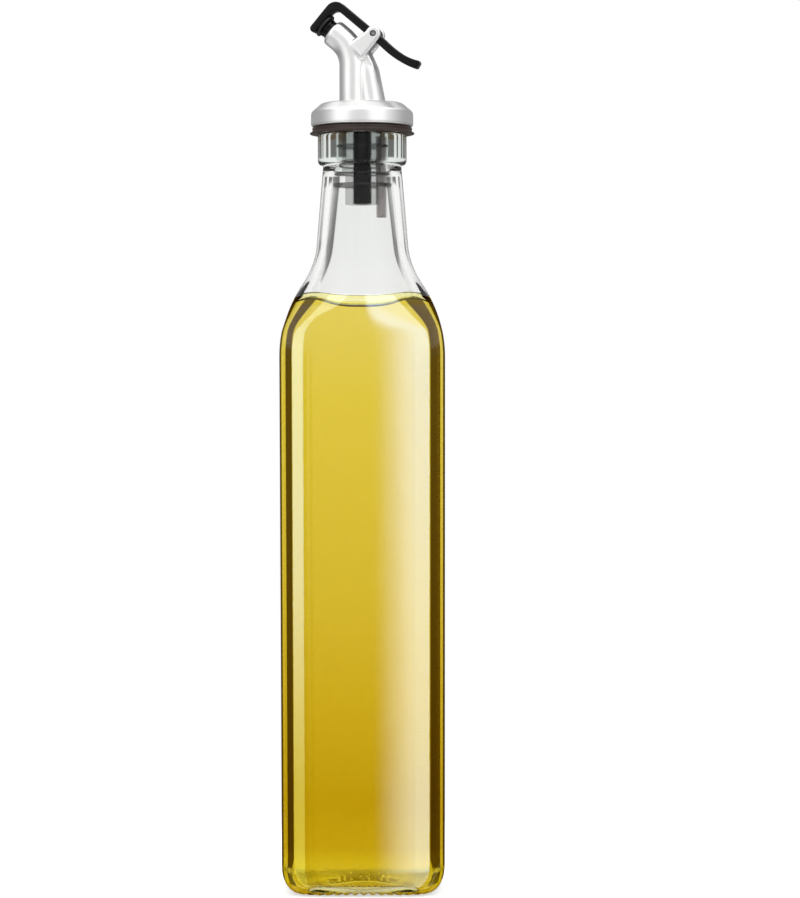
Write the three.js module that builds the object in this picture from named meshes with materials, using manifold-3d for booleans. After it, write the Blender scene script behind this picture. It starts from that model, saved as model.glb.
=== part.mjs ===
// Square glass oil bottle with a flip-lever pourer
// Units are millimetres, +Z is up, the table is z = 0 and the bottle's axis is x = y = 0

import * as THREE from 'three';
import { mergeVertices } from 'three/addons/utils/BufferGeometryUtils.js';
import Module from 'manifold-3d';

const wasm = await Module();
wasm.setup();

// Clearance between pieces that touch in the real bottle
const GAP = 0.3;

// Glass body, a rounded square in plan
const SHOULDER_HALF_WIDTH = 28.8;
const FOOT_HALF_WIDTH = 28.3;
const CORNER_SHARE = 0.347;
const WALL = 3.0;
const HEEL = { reach: 6.6, height: 9.5 };
const RING_INNER_HALF = 17.2;
const PUSH_UP = 5.2;
const FLOOR_HEIGHT = 4.6;
const FLOOR_CROWN = 9.8;
const PUSH_UP_FLANK = 3;
const INNER_HEEL = { reach: 5.6, height: 8.5 };

// Shoulder arc, the hollow that leads into the neck, and the heights between square and round
const SHOULDER_START = 185.4;
const SHOULDER_RADIUS = 46.5;
const SHOULDER_SWEEP = THREE.MathUtils.degToRad(33.8);
const NECK_FOOT = { radius: 16.0, z: 224.6 };
const NECK_TOP = { radius: 13.75, z: 251.5 };
const SQUARE_UNTIL = 190;
const ROUND_FROM = 215;

// Finish at the mouth, where the bore narrows to hold the stopper
const COLLAR = { radius: 15.55, bottom: 252.9, top: 263.3, round: 1.9, cornerCut: 0.38 };
const BORE_RADIUS = 9.4;
const BORE_BOTTOM = 253;
const BORE_FLARE = 247;
const MOUTH_LIP = 0.6;

// Oil, flat up to the level it is filled to
const OIL_LEVEL = 205;

// Stopper with its sealing fins, and the tubes through it
const STOPPER = { bottom: 239, top: 265.9, tipRadius: 6.0, plugRadius: 7.2, waist: 250.4 };
const FINS = [
  { z: 245.7, radius: 10.4 },
  { z: 249.5, radius: 9.9 },
  { z: 254.4, radius: 9.0 },
  { z: 259.2, radius: 9.0 },
];
const FIN_THICKNESS = 0.7;
const FIN_ROOT = 0.35;
const CORE = { radius: 3.05, bore: 2.6, bottom: 239.2, top: 265.9 };
const VALVE = { radius: 2.25, halfHeight: 3.5, z: 245.5 };
const AIR_TUBE = { radius: 1.75, bore: 1.15, bottom: 234.4, top: 262, fromAxis: 6.77 };

// Gasket and cap of the pourer
const GASKET = { inner: 7.6, bottom: 263.6, top: 265.9, lipRadius: 18.3, waistRadius: 17.4 };
const GASKET_LIP = { width: 1.6, edge: 0.15, height: 0.5, root: 1.3 };
const CAP = { radius: 17.9, bottom: 266.2, shoulder: 271.2, top: 274.5, topRadius: 14.0, edge: 0.6 };
const CAP_SOFTENING = 0.36;

// Pourer, turned a little about the bottle's axis
const POURER_TURN = THREE.MathUtils.degToRad(-11);
const NOZZLE_RISE = THREE.MathUtils.degToRad(40.3);
const PIN = { x: 4.82, z: 298.4, radius: 0.8, hole: 1.15, halfLength: 4.55, dimple: 0.4, dimpleRadius: 0.48 };

// Nozzle, measured from the pin: u along the nozzle, v up and square to it
const NOZZLE = { v: -8.9, mouth: 12.9, radius: 4.85, bend: 5.8, riserX: -3.16 };
const TIP = { radius: 3.42, end: 15.1, root: 5.4, bore: 2.2, boreRoot: 8.0, edge: 0.35 };

// Brace behind the nozzle, web between them, and the ears that hold the pin
const BRACE = { footX: 4.15, footRadius: 4.7, topX: 2.0, topZ: 285.6, topRadius: 4.1 };
const ROOT_Z = 272;
const WEB_HALF_WIDTH = 3.2;
const WEB_BACK = { x: 4.9, z: 287.4 };
const WEB_CREST = { x: 2.75, z: 291.8 };
const WEB_ON_NOZZLE = { u: 4.5, sunk: 0.8, drop: 4 };
const EAR = { radius: 2.7, inner: 2.9, outer: 4.88, from: -0.12 * Math.PI, to: 0.99 * Math.PI };
const EAR_BASE = { nearU: -2.8, nearV: -9.5, farU: 4.4, farV: -7.9 };

// Lever, in the same u and v
const LEVER = { halfWidth: 2.6, top: 0.9, bottom: -1.85, bossRadius: 2.3 };
const ARM = { inner: 16.65, outer: 19.5, end: -13.4, outerBend: 3.9, innerBend: 2.4 };
const TAIL = { start: -4, bow: -12.5, dip: 0.75, end: -19.0, rise: 2.55, thickness: 2.6, lip: 0.35 };
const TAIL_TIP = { bevel: 1.4, ridge: 0.7, shoulder: 0.2, overhang: 0.3, corner: 0.4 };
const SEAL = { radius: 4.35, from: 15.4, to: 16.35 };

// Facets round a turn, how far the body's are drawn to its corners, and the overshoot of a cut
const BODY_SEGMENTS = 48;
const CORNER_CROWDING = 0.12;
const TURNED_SEGMENTS = 32;
const SMALL_SEGMENTS = 20;
const OVERSHOOT = 1;

// Closed solid of a geometry, with shared corners merged and slivers at an axis dropped
function toSolid(geometry) {
  const bare = geometry.clone();
  bare.deleteAttribute('normal');
  bare.deleteAttribute('uv');
  const merged = mergeVertices(bare);
  const corners = merged.index.array;
  const triangles = [];
  for (let i = 0; i < corners.length; i += 3) {
    const [a, b, c] = corners.slice(i, i + 3);
    if (a !== b && b !== c && c !== a) triangles.push(a, b, c);
  }
  return new wasm.Manifold(new wasm.Mesh({
    numProp: 3,
    vertProperties: new Float32Array(merged.attributes.position.array),
    triVerts: new Uint32Array(triangles),
  }));
}

function toGeometry(solid) {
  const mesh = solid.getMesh();
  const geometry = new THREE.BufferGeometry();
  geometry.setAttribute('position', new THREE.BufferAttribute(mesh.vertProperties, 3));
  geometry.setIndex(new THREE.BufferAttribute(mesh.triVerts, 1));
  geometry.computeVertexNormals();
  return geometry;
}

// Turned solid about +Z from an outline of radius and height, listed anticlockwise
function turned(outline, segments) {
  return new THREE.LatheGeometry(outline, segments).rotateX(Math.PI / 2);
}

const point = (radius, z) => new THREE.Vector2(radius, z);

const arc = (centreX, centreY, radius, from, to, steps) =>
  new THREE.EllipseCurve(centreX, centreY, radius, radius, from, to).getPoints(steps);

// Quarter of an ellipse that leads from a flat foot out to an upright side
const heelCurve = (half, foot, { reach, height }, steps) =>
  new THREE.EllipseCurve(half - reach, foot + height, reach, height, -Math.PI / 2, 0).getPoints(steps);

const bow = (start, control, end, steps) =>
  new THREE.QuadraticBezierCurve(start, control, end).getPoints(steps);

// Radius of a unit rounded square along an angle; share is the corner radius, 1 for a circle
function roundedSquare(angle, share) {
  const turnedIn = Math.abs(((angle % (Math.PI / 2)) + Math.PI / 2) % (Math.PI / 2));
  const near = Math.min(turnedIn, Math.PI / 2 - turnedIn);
  const flat = 1 - share;
  if (Math.tan(near) <= flat) return 1 / Math.cos(near);
  const along = flat * (Math.cos(near) + Math.sin(near));
  return along + Math.sqrt(share * share - flat * flat * (1 - Math.sin(2 * near)));
}

// Turns a lathed shape into the bottle's plan: square below the shoulder, round in the neck
// and towards the axis, with the facets drawn together at the corners
function squared(geometry) {
  const position = geometry.attributes.position;
  for (let i = 0; i < position.count; i += 1) {
    const radius = Math.hypot(position.getX(i), position.getY(i));
    const evenAngle = Math.atan2(position.getY(i), position.getX(i));
    const angle = evenAngle + CORNER_CROWDING * Math.sin(4 * evenAngle);
    const towardsNeck = THREE.MathUtils.smoothstep(position.getZ(i), SQUARE_UNTIL, ROUND_FROM);
    const towardsAxis = 1 - THREE.MathUtils.smoothstep(radius, 0, RING_INNER_HALF);
    const share = THREE.MathUtils.lerp(CORNER_SHARE, 1, Math.max(towardsNeck, towardsAxis));
    const reach = radius * roundedSquare(angle, share);
    position.setXY(i, reach * Math.cos(angle), reach * Math.sin(angle));
  }
  return geometry;
}

// Shoulder arc at a depth inside the glass, upwards from the straight sides
function shoulder(inset, sweep, steps) {
  const centre = SHOULDER_HALF_WIDTH - SHOULDER_RADIUS;
  return arc(centre, SHOULDER_START, SHOULDER_RADIUS - inset, 0, sweep, steps);
}

// Hollow curve from the end of the shoulder arc to the foot of the neck
function neckHollow(shoulderEnd, inset, steps) {
  const foot = point(NECK_FOOT.radius - inset, NECK_FOOT.z);
  const neckSlope = (NECK_TOP.radius - NECK_FOOT.radius) / (NECK_TOP.z - NECK_FOOT.z);
  const shoulderSlope = -Math.tan(SHOULDER_SWEEP);
  const meetZ = (shoulderEnd.x - foot.x - shoulderSlope * shoulderEnd.y + neckSlope * foot.y)
    / (neckSlope - shoulderSlope);
  const meet = point(foot.x + neckSlope * (meetZ - foot.y), meetZ);
  return bow(shoulderEnd, meet, foot, steps);
}

// Outside of the glass, from the middle of the push-up to the lip of the mouth
function outside() {
  const rise = shoulder(0, SHOULDER_SWEEP, 9);
  return [
    ...bow(point(0, PUSH_UP), point(RING_INNER_HALF - PUSH_UP_FLANK, PUSH_UP), point(RING_INNER_HALF, 0), 5),
    ...heelCurve(FOOT_HALF_WIDTH, 0, HEEL, 6),
    ...rise,
    ...neckHollow(rise.at(-1), 0, 6).slice(1),
    point(NECK_TOP.radius, NECK_TOP.z),
    point(NECK_TOP.radius, COLLAR.bottom),
    point(COLLAR.radius - COLLAR.cornerCut, COLLAR.bottom + COLLAR.round / 2),
    point(COLLAR.radius, COLLAR.bottom + COLLAR.round),
    point(COLLAR.radius, COLLAR.top - MOUTH_LIP),
    point(COLLAR.radius - MOUTH_LIP, COLLAR.top),
  ];
}

// Sides and floor of the hollow inside, from the axis up to the start of the shoulder
function hollowSides(gap) {
  const half = FOOT_HALF_WIDTH - WALL - gap;
  const crown = FLOOR_CROWN + gap;
  const heel = heelCurve(half, FLOOR_HEIGHT + gap, INNER_HEEL, 5);
  return [...bow(point(0, crown), point(heel[0].x / 2, crown), heel[0], 5), ...heel.slice(1)];
}

function hollow() {
  const rise = shoulder(WALL, SHOULDER_SWEEP, 8);
  return [
    ...hollowSides(0),
    ...rise,
    ...neckHollow(rise.at(-1), WALL, 5).slice(1),
    point(NECK_TOP.radius - WALL, BORE_FLARE),
    point(BORE_RADIUS, BORE_BOTTOM),
    point(BORE_RADIUS, COLLAR.top - MOUTH_LIP),
    point(BORE_RADIUS + MOUTH_LIP, COLLAR.top),
  ];
}

function bottleGeometry() {
  return squared(turned([...outside(), ...hollow().reverse()], BODY_SEGMENTS));
}

function oilGeometry() {
  const inset = WALL + GAP;
  const sweep = Math.asin((OIL_LEVEL - SHOULDER_START) / (SHOULDER_RADIUS - inset));
  const outline = [...hollowSides(GAP), ...shoulder(inset, sweep, 5), point(0, OIL_LEVEL)];
  return squared(turned(outline, BODY_SEGMENTS));
}

// Plug with thin sealing fins, bored for the core and notched for the air tube
function stopperGeometry() {
  const plugRadius = (z) => (z < STOPPER.waist ? STOPPER.tipRadius : STOPPER.plugRadius);
  const fins = FINS.flatMap(({ z, radius }) => [
    point(plugRadius(z), z - FIN_THICKNESS / 2 - FIN_ROOT),
    point(radius, z - FIN_THICKNESS / 2),
    point(radius, z + FIN_THICKNESS / 2),
    point(plugRadius(z), z + FIN_THICKNESS / 2 + FIN_ROOT),
  ]);
  const below = fins.filter(({ y }) => y < STOPPER.waist);
  const above = fins.filter(({ y }) => y >= STOPPER.waist);
  const bore = CORE.radius + GAP;
  const outline = [
    point(bore, STOPPER.bottom),
    point(STOPPER.tipRadius, STOPPER.bottom),
    ...below,
    point(STOPPER.tipRadius, STOPPER.waist),
    point(STOPPER.plugRadius, STOPPER.waist + FIN_ROOT),
    ...above,
    point(STOPPER.plugRadius, STOPPER.top),
    point(bore, STOPPER.top),
    point(bore, STOPPER.bottom),
  ];
  const notchBottom = STOPPER.bottom - OVERSHOOT;
  const notchLength = AIR_TUBE.top + GAP - notchBottom;
  const notch = new THREE.CylinderGeometry(
    AIR_TUBE.radius + GAP, AIR_TUBE.radius + GAP, notchLength, SMALL_SEGMENTS,
  ).rotateX(Math.PI / 2);
  notch.translate(AIR_TUBE.fromAxis, 0, notchBottom + notchLength / 2);
  return toGeometry(toSolid(turned(outline, TURNED_SEGMENTS)).subtract(toSolid(notch)));
}

// Straight tube about +Z with an open bore
function tubeGeometry({ radius, bore, bottom, top }, edge) {
  return turned([
    point(bore, bottom),
    point(radius - edge, bottom),
    point(radius, bottom + edge),
    point(radius, top),
    point(bore, top),
    point(bore, bottom),
  ], SMALL_SEGMENTS);
}

function valveGeometry() {
  return new THREE.SphereGeometry(VALVE.radius, 16, 10)
    .rotateX(Math.PI / 2)
    .scale(1, 1, VALVE.halfHeight / VALVE.radius)
    .translate(0, 0, VALVE.z);
}

// Rubber ring that flares to a thin lip under the cap
function gasketGeometry() {
  const { inner, bottom, top, lipRadius, waistRadius } = GASKET;
  const { width, edge, height, root } = GASKET_LIP;
  return turned([
    point(inner, bottom),
    point(lipRadius - width, bottom),
    point(lipRadius, bottom + edge),
    point(lipRadius, bottom + height),
    point(waistRadius, bottom + root),
    point(waistRadius, top),
    point(inner, top),
    point(inner, bottom),
  ], TURNED_SEGMENTS);
}

function capGeometry() {
  const { radius, bottom, shoulder: bevel, top, topRadius, edge } = CAP;
  return turned([
    point(0, bottom),
    point(radius - edge, bottom),
    point(radius, bottom + edge),
    point(radius, bevel - edge),
    point(radius - CAP_SOFTENING, bevel),
    point(topRadius + edge, top - CAP_SOFTENING),
    point(topRadius, top),
    point(0, top),
  ], TURNED_SEGMENTS);
}

// Frame at the pin: X along u, Y along v, Z across the ears
const pinTurn = new THREE.Euler(-Math.PI / 2, NOZZLE_RISE - Math.PI, 0, 'YXZ');
const pinFrame = new THREE.Matrix4().makeRotationFromEuler(pinTurn).setPosition(PIN.x, 0, PIN.z);

// Place in the pourer's upright plane of a point at u and v from the pin
const fromPin = (u, v) => new THREE.Vector3(u, v, 0).applyMatrix4(pinFrame);

// Round tube that rises from the cap and bends over into the nozzle
function pourTubeGeometry() {
  const mouth = fromPin(NOZZLE.mouth, NOZZLE.v);
  const outward = fromPin(1, 0).sub(fromPin(0, 0));
  const corner = mouth.clone().addScaledVector(outward, (NOZZLE.riserX - mouth.x) / outward.x);
  const riserTop = new THREE.Vector3(corner.x, 0, corner.z - NOZZLE.bend);
  const bendEnd = corner.clone().addScaledVector(outward, NOZZLE.bend);
  const path = new THREE.CurvePath();
  path.add(new THREE.LineCurve3(new THREE.Vector3(corner.x, 0, ROOT_Z), riserTop));
  path.add(new THREE.QuadraticBezierCurve3(riserTop, corner, bendEnd));
  path.add(new THREE.LineCurve3(bendEnd, mouth));
  const section = new THREE.Shape().absarc(0, 0, NOZZLE.radius, 0, 2 * Math.PI);
  return new THREE.ExtrudeGeometry(section, { steps: 18, curveSegments: 14, extrudePath: path });
}

// Leaning brace behind the tube, a little thinner at its top
function braceGeometry() {
  const { footX, footRadius, topX, topZ, topRadius } = BRACE;
  const run = new THREE.Vector3(topX - footX, 0, topZ - ROOT_Z);
  const lean = new THREE.Quaternion().setFromUnitVectors(
    new THREE.Vector3(0, 1, 0), run.clone().normalize(),
  );
  return new THREE.CylinderGeometry(topRadius, footRadius, run.length(), TURNED_SEGMENTS)
    .applyQuaternion(lean)
    .translate((footX + topX) / 2, 0, (ROOT_Z + topZ) / 2);
}

// Web that fills the valley between tube and brace, up to the crest between the ears
function webGeometry() {
  const nozzleBack = fromPin(WEB_ON_NOZZLE.u, NOZZLE.v + NOZZLE.radius - WEB_ON_NOZZLE.sunk);
  const outline = new THREE.Shape([
    point(NOZZLE.riserX, ROOT_Z),
    point(BRACE.footX, ROOT_Z),
    point(WEB_BACK.x, WEB_BACK.z),
    point(WEB_CREST.x, WEB_CREST.z),
    point(nozzleBack.x, nozzleBack.z),
    point(NOZZLE.riserX, nozzleBack.z - WEB_ON_NOZZLE.drop),
  ]);
  return new THREE.ExtrudeGeometry(outline, { depth: 2 * WEB_HALF_WIDTH, bevelEnabled: false })
    .rotateX(Math.PI / 2)
    .translate(0, WEB_HALF_WIDTH, 0);
}

// One ear: round about the pin, spreading down to the side of the nozzle
function earGeometry(from, depth) {
  const outline = new THREE.Shape();
  outline.moveTo(EAR_BASE.nearU, EAR_BASE.nearV);
  outline.lineTo(EAR_BASE.farU, EAR_BASE.farV);
  outline.absarc(0, 0, EAR.radius, EAR.from, EAR.to, false);
  outline.closePath();
  const steps = { depth, bevelEnabled: false, curveSegments: 14 };
  return new THREE.ExtrudeGeometry(outline, steps).translate(0, 0, from).applyMatrix4(pinFrame);
}

// Round bar along the pin's axis, for cutting the holes of the pin
function pinHole(halfLength) {
  return new THREE.CylinderGeometry(PIN.hole, PIN.hole, 2 * halfLength, SMALL_SEGMENTS)
    .rotateX(Math.PI / 2);
}

// Cap, tube, nozzle, brace and ears in one moulding, bored at the nozzle for its black tip
function headGeometry() {
  const earDepth = EAR.outer - EAR.inner;
  const socketLength = NOZZLE.mouth - TIP.root + GAP + OVERSHOOT;
  const socket = new THREE.CylinderGeometry(
    TIP.radius + GAP, TIP.radius + GAP, socketLength, SMALL_SEGMENTS,
  ).rotateZ(Math.PI / 2);
  socket.translate(TIP.root - GAP + socketLength / 2, NOZZLE.v, 0).applyMatrix4(pinFrame);
  const added = [
    pourTubeGeometry(),
    braceGeometry(),
    webGeometry(),
    earGeometry(EAR.inner, earDepth),
    earGeometry(-EAR.outer, earDepth),
  ];
  const whole = added.reduce((sum, piece) => sum.add(toSolid(piece)), toSolid(capGeometry()));
  const holes = pinHole(EAR.outer + OVERSHOOT).applyMatrix4(pinFrame);
  return toGeometry(whole.subtract(toSolid(socket)).subtract(toSolid(holes)));
}

// Black liner with a blind bore, drawn along its own axis and laid along u
function tipGeometry() {
  return new THREE.LatheGeometry([
    point(0, TIP.root),
    point(TIP.radius, TIP.root),
    point(TIP.radius, TIP.end - TIP.edge),
    point(TIP.radius - TIP.edge, TIP.end),
    point(TIP.bore, TIP.end),
    point(TIP.bore, TIP.boreRoot),
    point(0, TIP.boreRoot),
  ], SMALL_SEGMENTS).rotateZ(-Math.PI / 2).translate(0, NOZZLE.v, 0);
}

// Pin with a dimple in each end, drawn along its own axis and laid across the ears
function pinGeometry() {
  const { radius, halfLength, dimple, dimpleRadius } = PIN;
  return new THREE.LatheGeometry([
    point(0, dimple - halfLength),
    point(dimpleRadius, -halfLength),
    point(radius, -halfLength),
    point(radius, halfLength),
    point(dimpleRadius, halfLength),
    point(0, halfLength - dimple),
  ], SMALL_SEGMENTS).rotateX(Math.PI / 2);
}

// Side view of the lever: arm over the nozzle, bend, bar through the ears, and curved tail
function leverOutline() {
  const armRadius = (ARM.outer - ARM.inner) / 2;
  const armMiddle = (ARM.outer + ARM.inner) / 2;
  const tailFoot = TAIL.rise - TAIL.thickness;
  const { outerBend: bend, innerBend: inner } = ARM;
  const outline = new THREE.Shape();
  outline.moveTo(ARM.inner, ARM.end + armRadius);
  outline.absarc(armMiddle, ARM.end + armRadius, armRadius, Math.PI, 2 * Math.PI, false);
  outline.absarc(ARM.outer - bend, LEVER.top - bend, bend, 0, Math.PI / 2, false);
  outline.lineTo(TAIL.start, LEVER.top);
  outline.quadraticCurveTo(TAIL.bow, LEVER.top - TAIL.dip, TAIL.end + TAIL_TIP.bevel, TAIL.rise);
  outline.lineTo(TAIL.end + TAIL_TIP.ridge, TAIL.rise + TAIL.lip);
  outline.lineTo(TAIL.end, TAIL.rise - TAIL_TIP.shoulder);
  outline.lineTo(TAIL.end - TAIL_TIP.overhang, tailFoot + TAIL_TIP.corner);
  outline.quadraticCurveTo(TAIL.bow, LEVER.bottom - TAIL.dip, TAIL.start, LEVER.bottom);
  outline.lineTo(ARM.inner - inner, LEVER.bottom);
  outline.absarc(ARM.inner - inner, LEVER.bottom - inner, inner, Math.PI / 2, 0, true);
  outline.closePath();
  return outline;
}

function leverGeometry() {
  const steps = { depth: 2 * LEVER.halfWidth, bevelEnabled: false, curveSegments: 8 };
  const blade = new THREE.ExtrudeGeometry(leverOutline(), steps).translate(0, 0, -LEVER.halfWidth);
  const boss = new THREE.CylinderGeometry(
    LEVER.bossRadius, LEVER.bossRadius, 2 * LEVER.halfWidth, TURNED_SEGMENTS,
  ).rotateX(Math.PI / 2);
  const whole = toSolid(blade).add(toSolid(boss));
  return toGeometry(whole.subtract(toSolid(pinHole(LEVER.halfWidth + OVERSHOOT))));
}

// Round pad on the arm that closes the nozzle
function sealGeometry() {
  return new THREE.CylinderGeometry(SEAL.radius, SEAL.radius, SEAL.to - SEAL.from, TURNED_SEGMENTS)
    .rotateZ(Math.PI / 2)
    .translate((SEAL.from + SEAL.to) / 2, NOZZLE.v, 0);
}

// Finishes
const finish = (color, roughness, metalness) =>
  new THREE.MeshStandardMaterial({ color, roughness, metalness, flatShading: true });

const clearGlass = finish(0xdfe6e3, 0.05, 0);
clearGlass.transparent = true;
clearGlass.opacity = 0.35;
const goldenOil = finish(0xd2ae2a, 0.1, 0);
const clearPlug = finish(0xb9bcbc, 0.25, 0);
const airPlastic = finish(0xc9c2c2, 0.2, 0);
const darkCore = finish(0x26282a, 0.35, 0);
const blackRubber = finish(0x2b2220, 0.5, 0);
const satinSilver = finish(0xc4c4c2, 0.35, 0.8);
const steel = finish(0x9a9a9c, 0.3, 1);
const blackPlastic = finish(0x1c1b1d, 0.3, 0);

function piece(name, geometry, material) {
  const mesh = new THREE.Mesh(geometry, material);
  mesh.name = name;
  return mesh;
}

const pourer = new THREE.Group();
pourer.rotation.z = POURER_TURN;
pourer.add(
  piece('stopper', stopperGeometry(), clearPlug),
  piece('pour_core', tubeGeometry(CORE, 0.2), darkCore),
  piece('valve_plug', valveGeometry(), blackRubber),
  piece('gasket', gasketGeometry(), blackRubber),
  piece('pourer_head', headGeometry(), satinSilver),
);

const airTube = piece('air_tube', tubeGeometry(AIR_TUBE, 0.35), airPlastic);
airTube.position.x = AIR_TUBE.fromAxis;
pourer.add(airTube);

// Pieces set out from the pin
const atPin = new THREE.Group();
atPin.position.set(PIN.x, 0, PIN.z);
atPin.rotation.copy(pinTurn);
atPin.add(
  piece('nozzle_tip', tipGeometry(), blackPlastic),
  piece('hinge_pin', pinGeometry(), steel),
  piece('lever', leverGeometry(), blackPlastic),
  piece('lever_seal', sealGeometry(), blackRubber),
);
pourer.add(atPin);

const group = new THREE.Group();
group.add(piece('bottle', bottleGeometry(), clearGlass), piece('oil', oilGeometry(), goldenOil), pourer);

export default group;
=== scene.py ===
"""Square glass oil bottle with a flip-lever pourer: its fine surfaces and finishes.

Lengths are millimetres on the frame's own axes, +Z up, and become metres when a mesh is made.
"""

import logging
import math
from collections.abc import Callable
from dataclasses import dataclass, field
from enum import Enum

import bmesh
import bpy
import numpy as np
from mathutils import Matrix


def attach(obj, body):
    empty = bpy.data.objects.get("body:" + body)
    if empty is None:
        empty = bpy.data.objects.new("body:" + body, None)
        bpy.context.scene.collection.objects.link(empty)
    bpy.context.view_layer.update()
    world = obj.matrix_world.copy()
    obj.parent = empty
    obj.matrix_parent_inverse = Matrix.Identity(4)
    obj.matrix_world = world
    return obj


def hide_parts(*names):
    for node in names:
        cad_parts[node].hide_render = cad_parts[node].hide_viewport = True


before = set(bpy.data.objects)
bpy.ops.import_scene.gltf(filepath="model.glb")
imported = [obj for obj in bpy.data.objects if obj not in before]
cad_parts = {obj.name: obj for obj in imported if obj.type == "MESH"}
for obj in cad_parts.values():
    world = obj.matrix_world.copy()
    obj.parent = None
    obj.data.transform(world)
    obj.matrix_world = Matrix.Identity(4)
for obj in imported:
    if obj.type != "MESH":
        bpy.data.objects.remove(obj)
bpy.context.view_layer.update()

log = logging.getLogger("oil bottle")

MM = 0.001

# A tube's closed end stands this far past its last ring
CLOSING = 0.01

Pair = tuple[float, float]
Colour = tuple[float, float, float]
Edges = tuple[float, float, float, float]
Socket = bpy.types.NodeSocket
Shade = Colour | Socket


class Body(Enum):
    """The two bodies that pieces ride on."""

    BOTTLE = "bottle"
    LEVER = "lever"


# Curves and outlines


def arc(centre: Pair, radii: Pair, start: float, end: float, steps: int) -> np.ndarray:
    """Points on a stretch of an ellipse.

    A point at angle a is centre + (rx cos a, ry sin a), with a in even steps.

    Args:
        centre: middle of the ellipse.
        radii: its two half axes.
        start: first angle in degrees.
        end: last angle in degrees.
        steps: number of stretches.

    Returns:
        Points, one a row.
    """
    angle = np.radians(np.linspace(start, end, steps + 1))
    return np.column_stack([centre[0] + radii[0] * np.cos(angle), centre[1] + radii[1] * np.sin(angle)])


def bow(start: np.ndarray, control: np.ndarray, end: np.ndarray, steps: int) -> np.ndarray:
    """Points on a quadratic Bezier curve.

    A point at t is (1 - t)^2 start + 2 t (1 - t) control + t^2 end.

    Args:
        start: first point.
        control: point that the curve leans towards.
        end: last point.
        steps: number of stretches.

    Returns:
        Points, one a row.
    """
    t = np.linspace(0.0, 1.0, steps + 1)[:, None]
    return (1 - t) ** 2 * np.asarray(start) + 2 * t * (1 - t) * np.asarray(control) + t**2 * np.asarray(end)


def line(start: Pair, end: Pair, steps: int) -> np.ndarray:
    """Evenly spaced points from start to end, both included."""
    return np.linspace(start, end, steps + 1)


def smooth(value: np.ndarray, low: float, high: float) -> np.ndarray:
    """Rises from 0 at low to 1 at high as 3t^2 - 2t^3."""
    t = np.clip((np.asarray(value) - low) / (high - low), 0.0, 1.0)
    return t * t * (3 - 2 * t)


def evened(outline: np.ndarray, step: float, soften: float) -> np.ndarray:
    """Respaces a closed outline and rounds its corners.

    The outline is cut into equal stretches by arc length, then each point becomes the mean of its
    neighbours, weighted by a bell curve over the arc length between them.

    Args:
        outline: corner points in order.
        step: wanted length of a stretch.
        soften: width of the bell curve, which is about the radius that a corner gets.

    Returns:
        Respaced points.
    """
    closed = np.vstack([outline, outline[:1]])
    length = np.concatenate([[0.0], np.cumsum(np.linalg.norm(np.diff(closed, axis=0), axis=1))])
    count = int(length[-1] / step)
    at = np.linspace(0.0, length[-1], count, endpoint=False)
    even = np.column_stack([np.interp(at, length, closed[:, k]) for k in range(2)])
    reach = np.minimum(np.arange(count), count - np.arange(count)) * length[-1] / count
    bell = np.exp(-0.5 * (reach / soften) ** 2)
    weight = np.fft.rfft(bell / bell.sum())
    return np.column_stack([np.fft.irfft(np.fft.rfft(even[:, k]) * weight, count) for k in range(2)])


def rod(low: float, high: float, radius: float) -> np.ndarray:
    """Outline of a plain rod from low to high, for a lathe."""
    return np.array([[0.0, low], [radius, low], [radius, high], [0.0, high]])


def inset(outline: np.ndarray, depth: float) -> np.ndarray:
    """Moves each point of an anticlockwise outline inwards, square to the chord of its neighbours.

    Args:
        outline: closed outline, one point a row.
        depth: how far each point moves.

    Returns:
        Moved points.
    """
    chord = np.roll(outline, -1, axis=0) - np.roll(outline, 1, axis=0)
    inward = np.column_stack([-chord[:, 1], chord[:, 0]])
    return outline + depth * inward / np.linalg.norm(inward, axis=1, keepdims=True)


# Meshes


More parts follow.
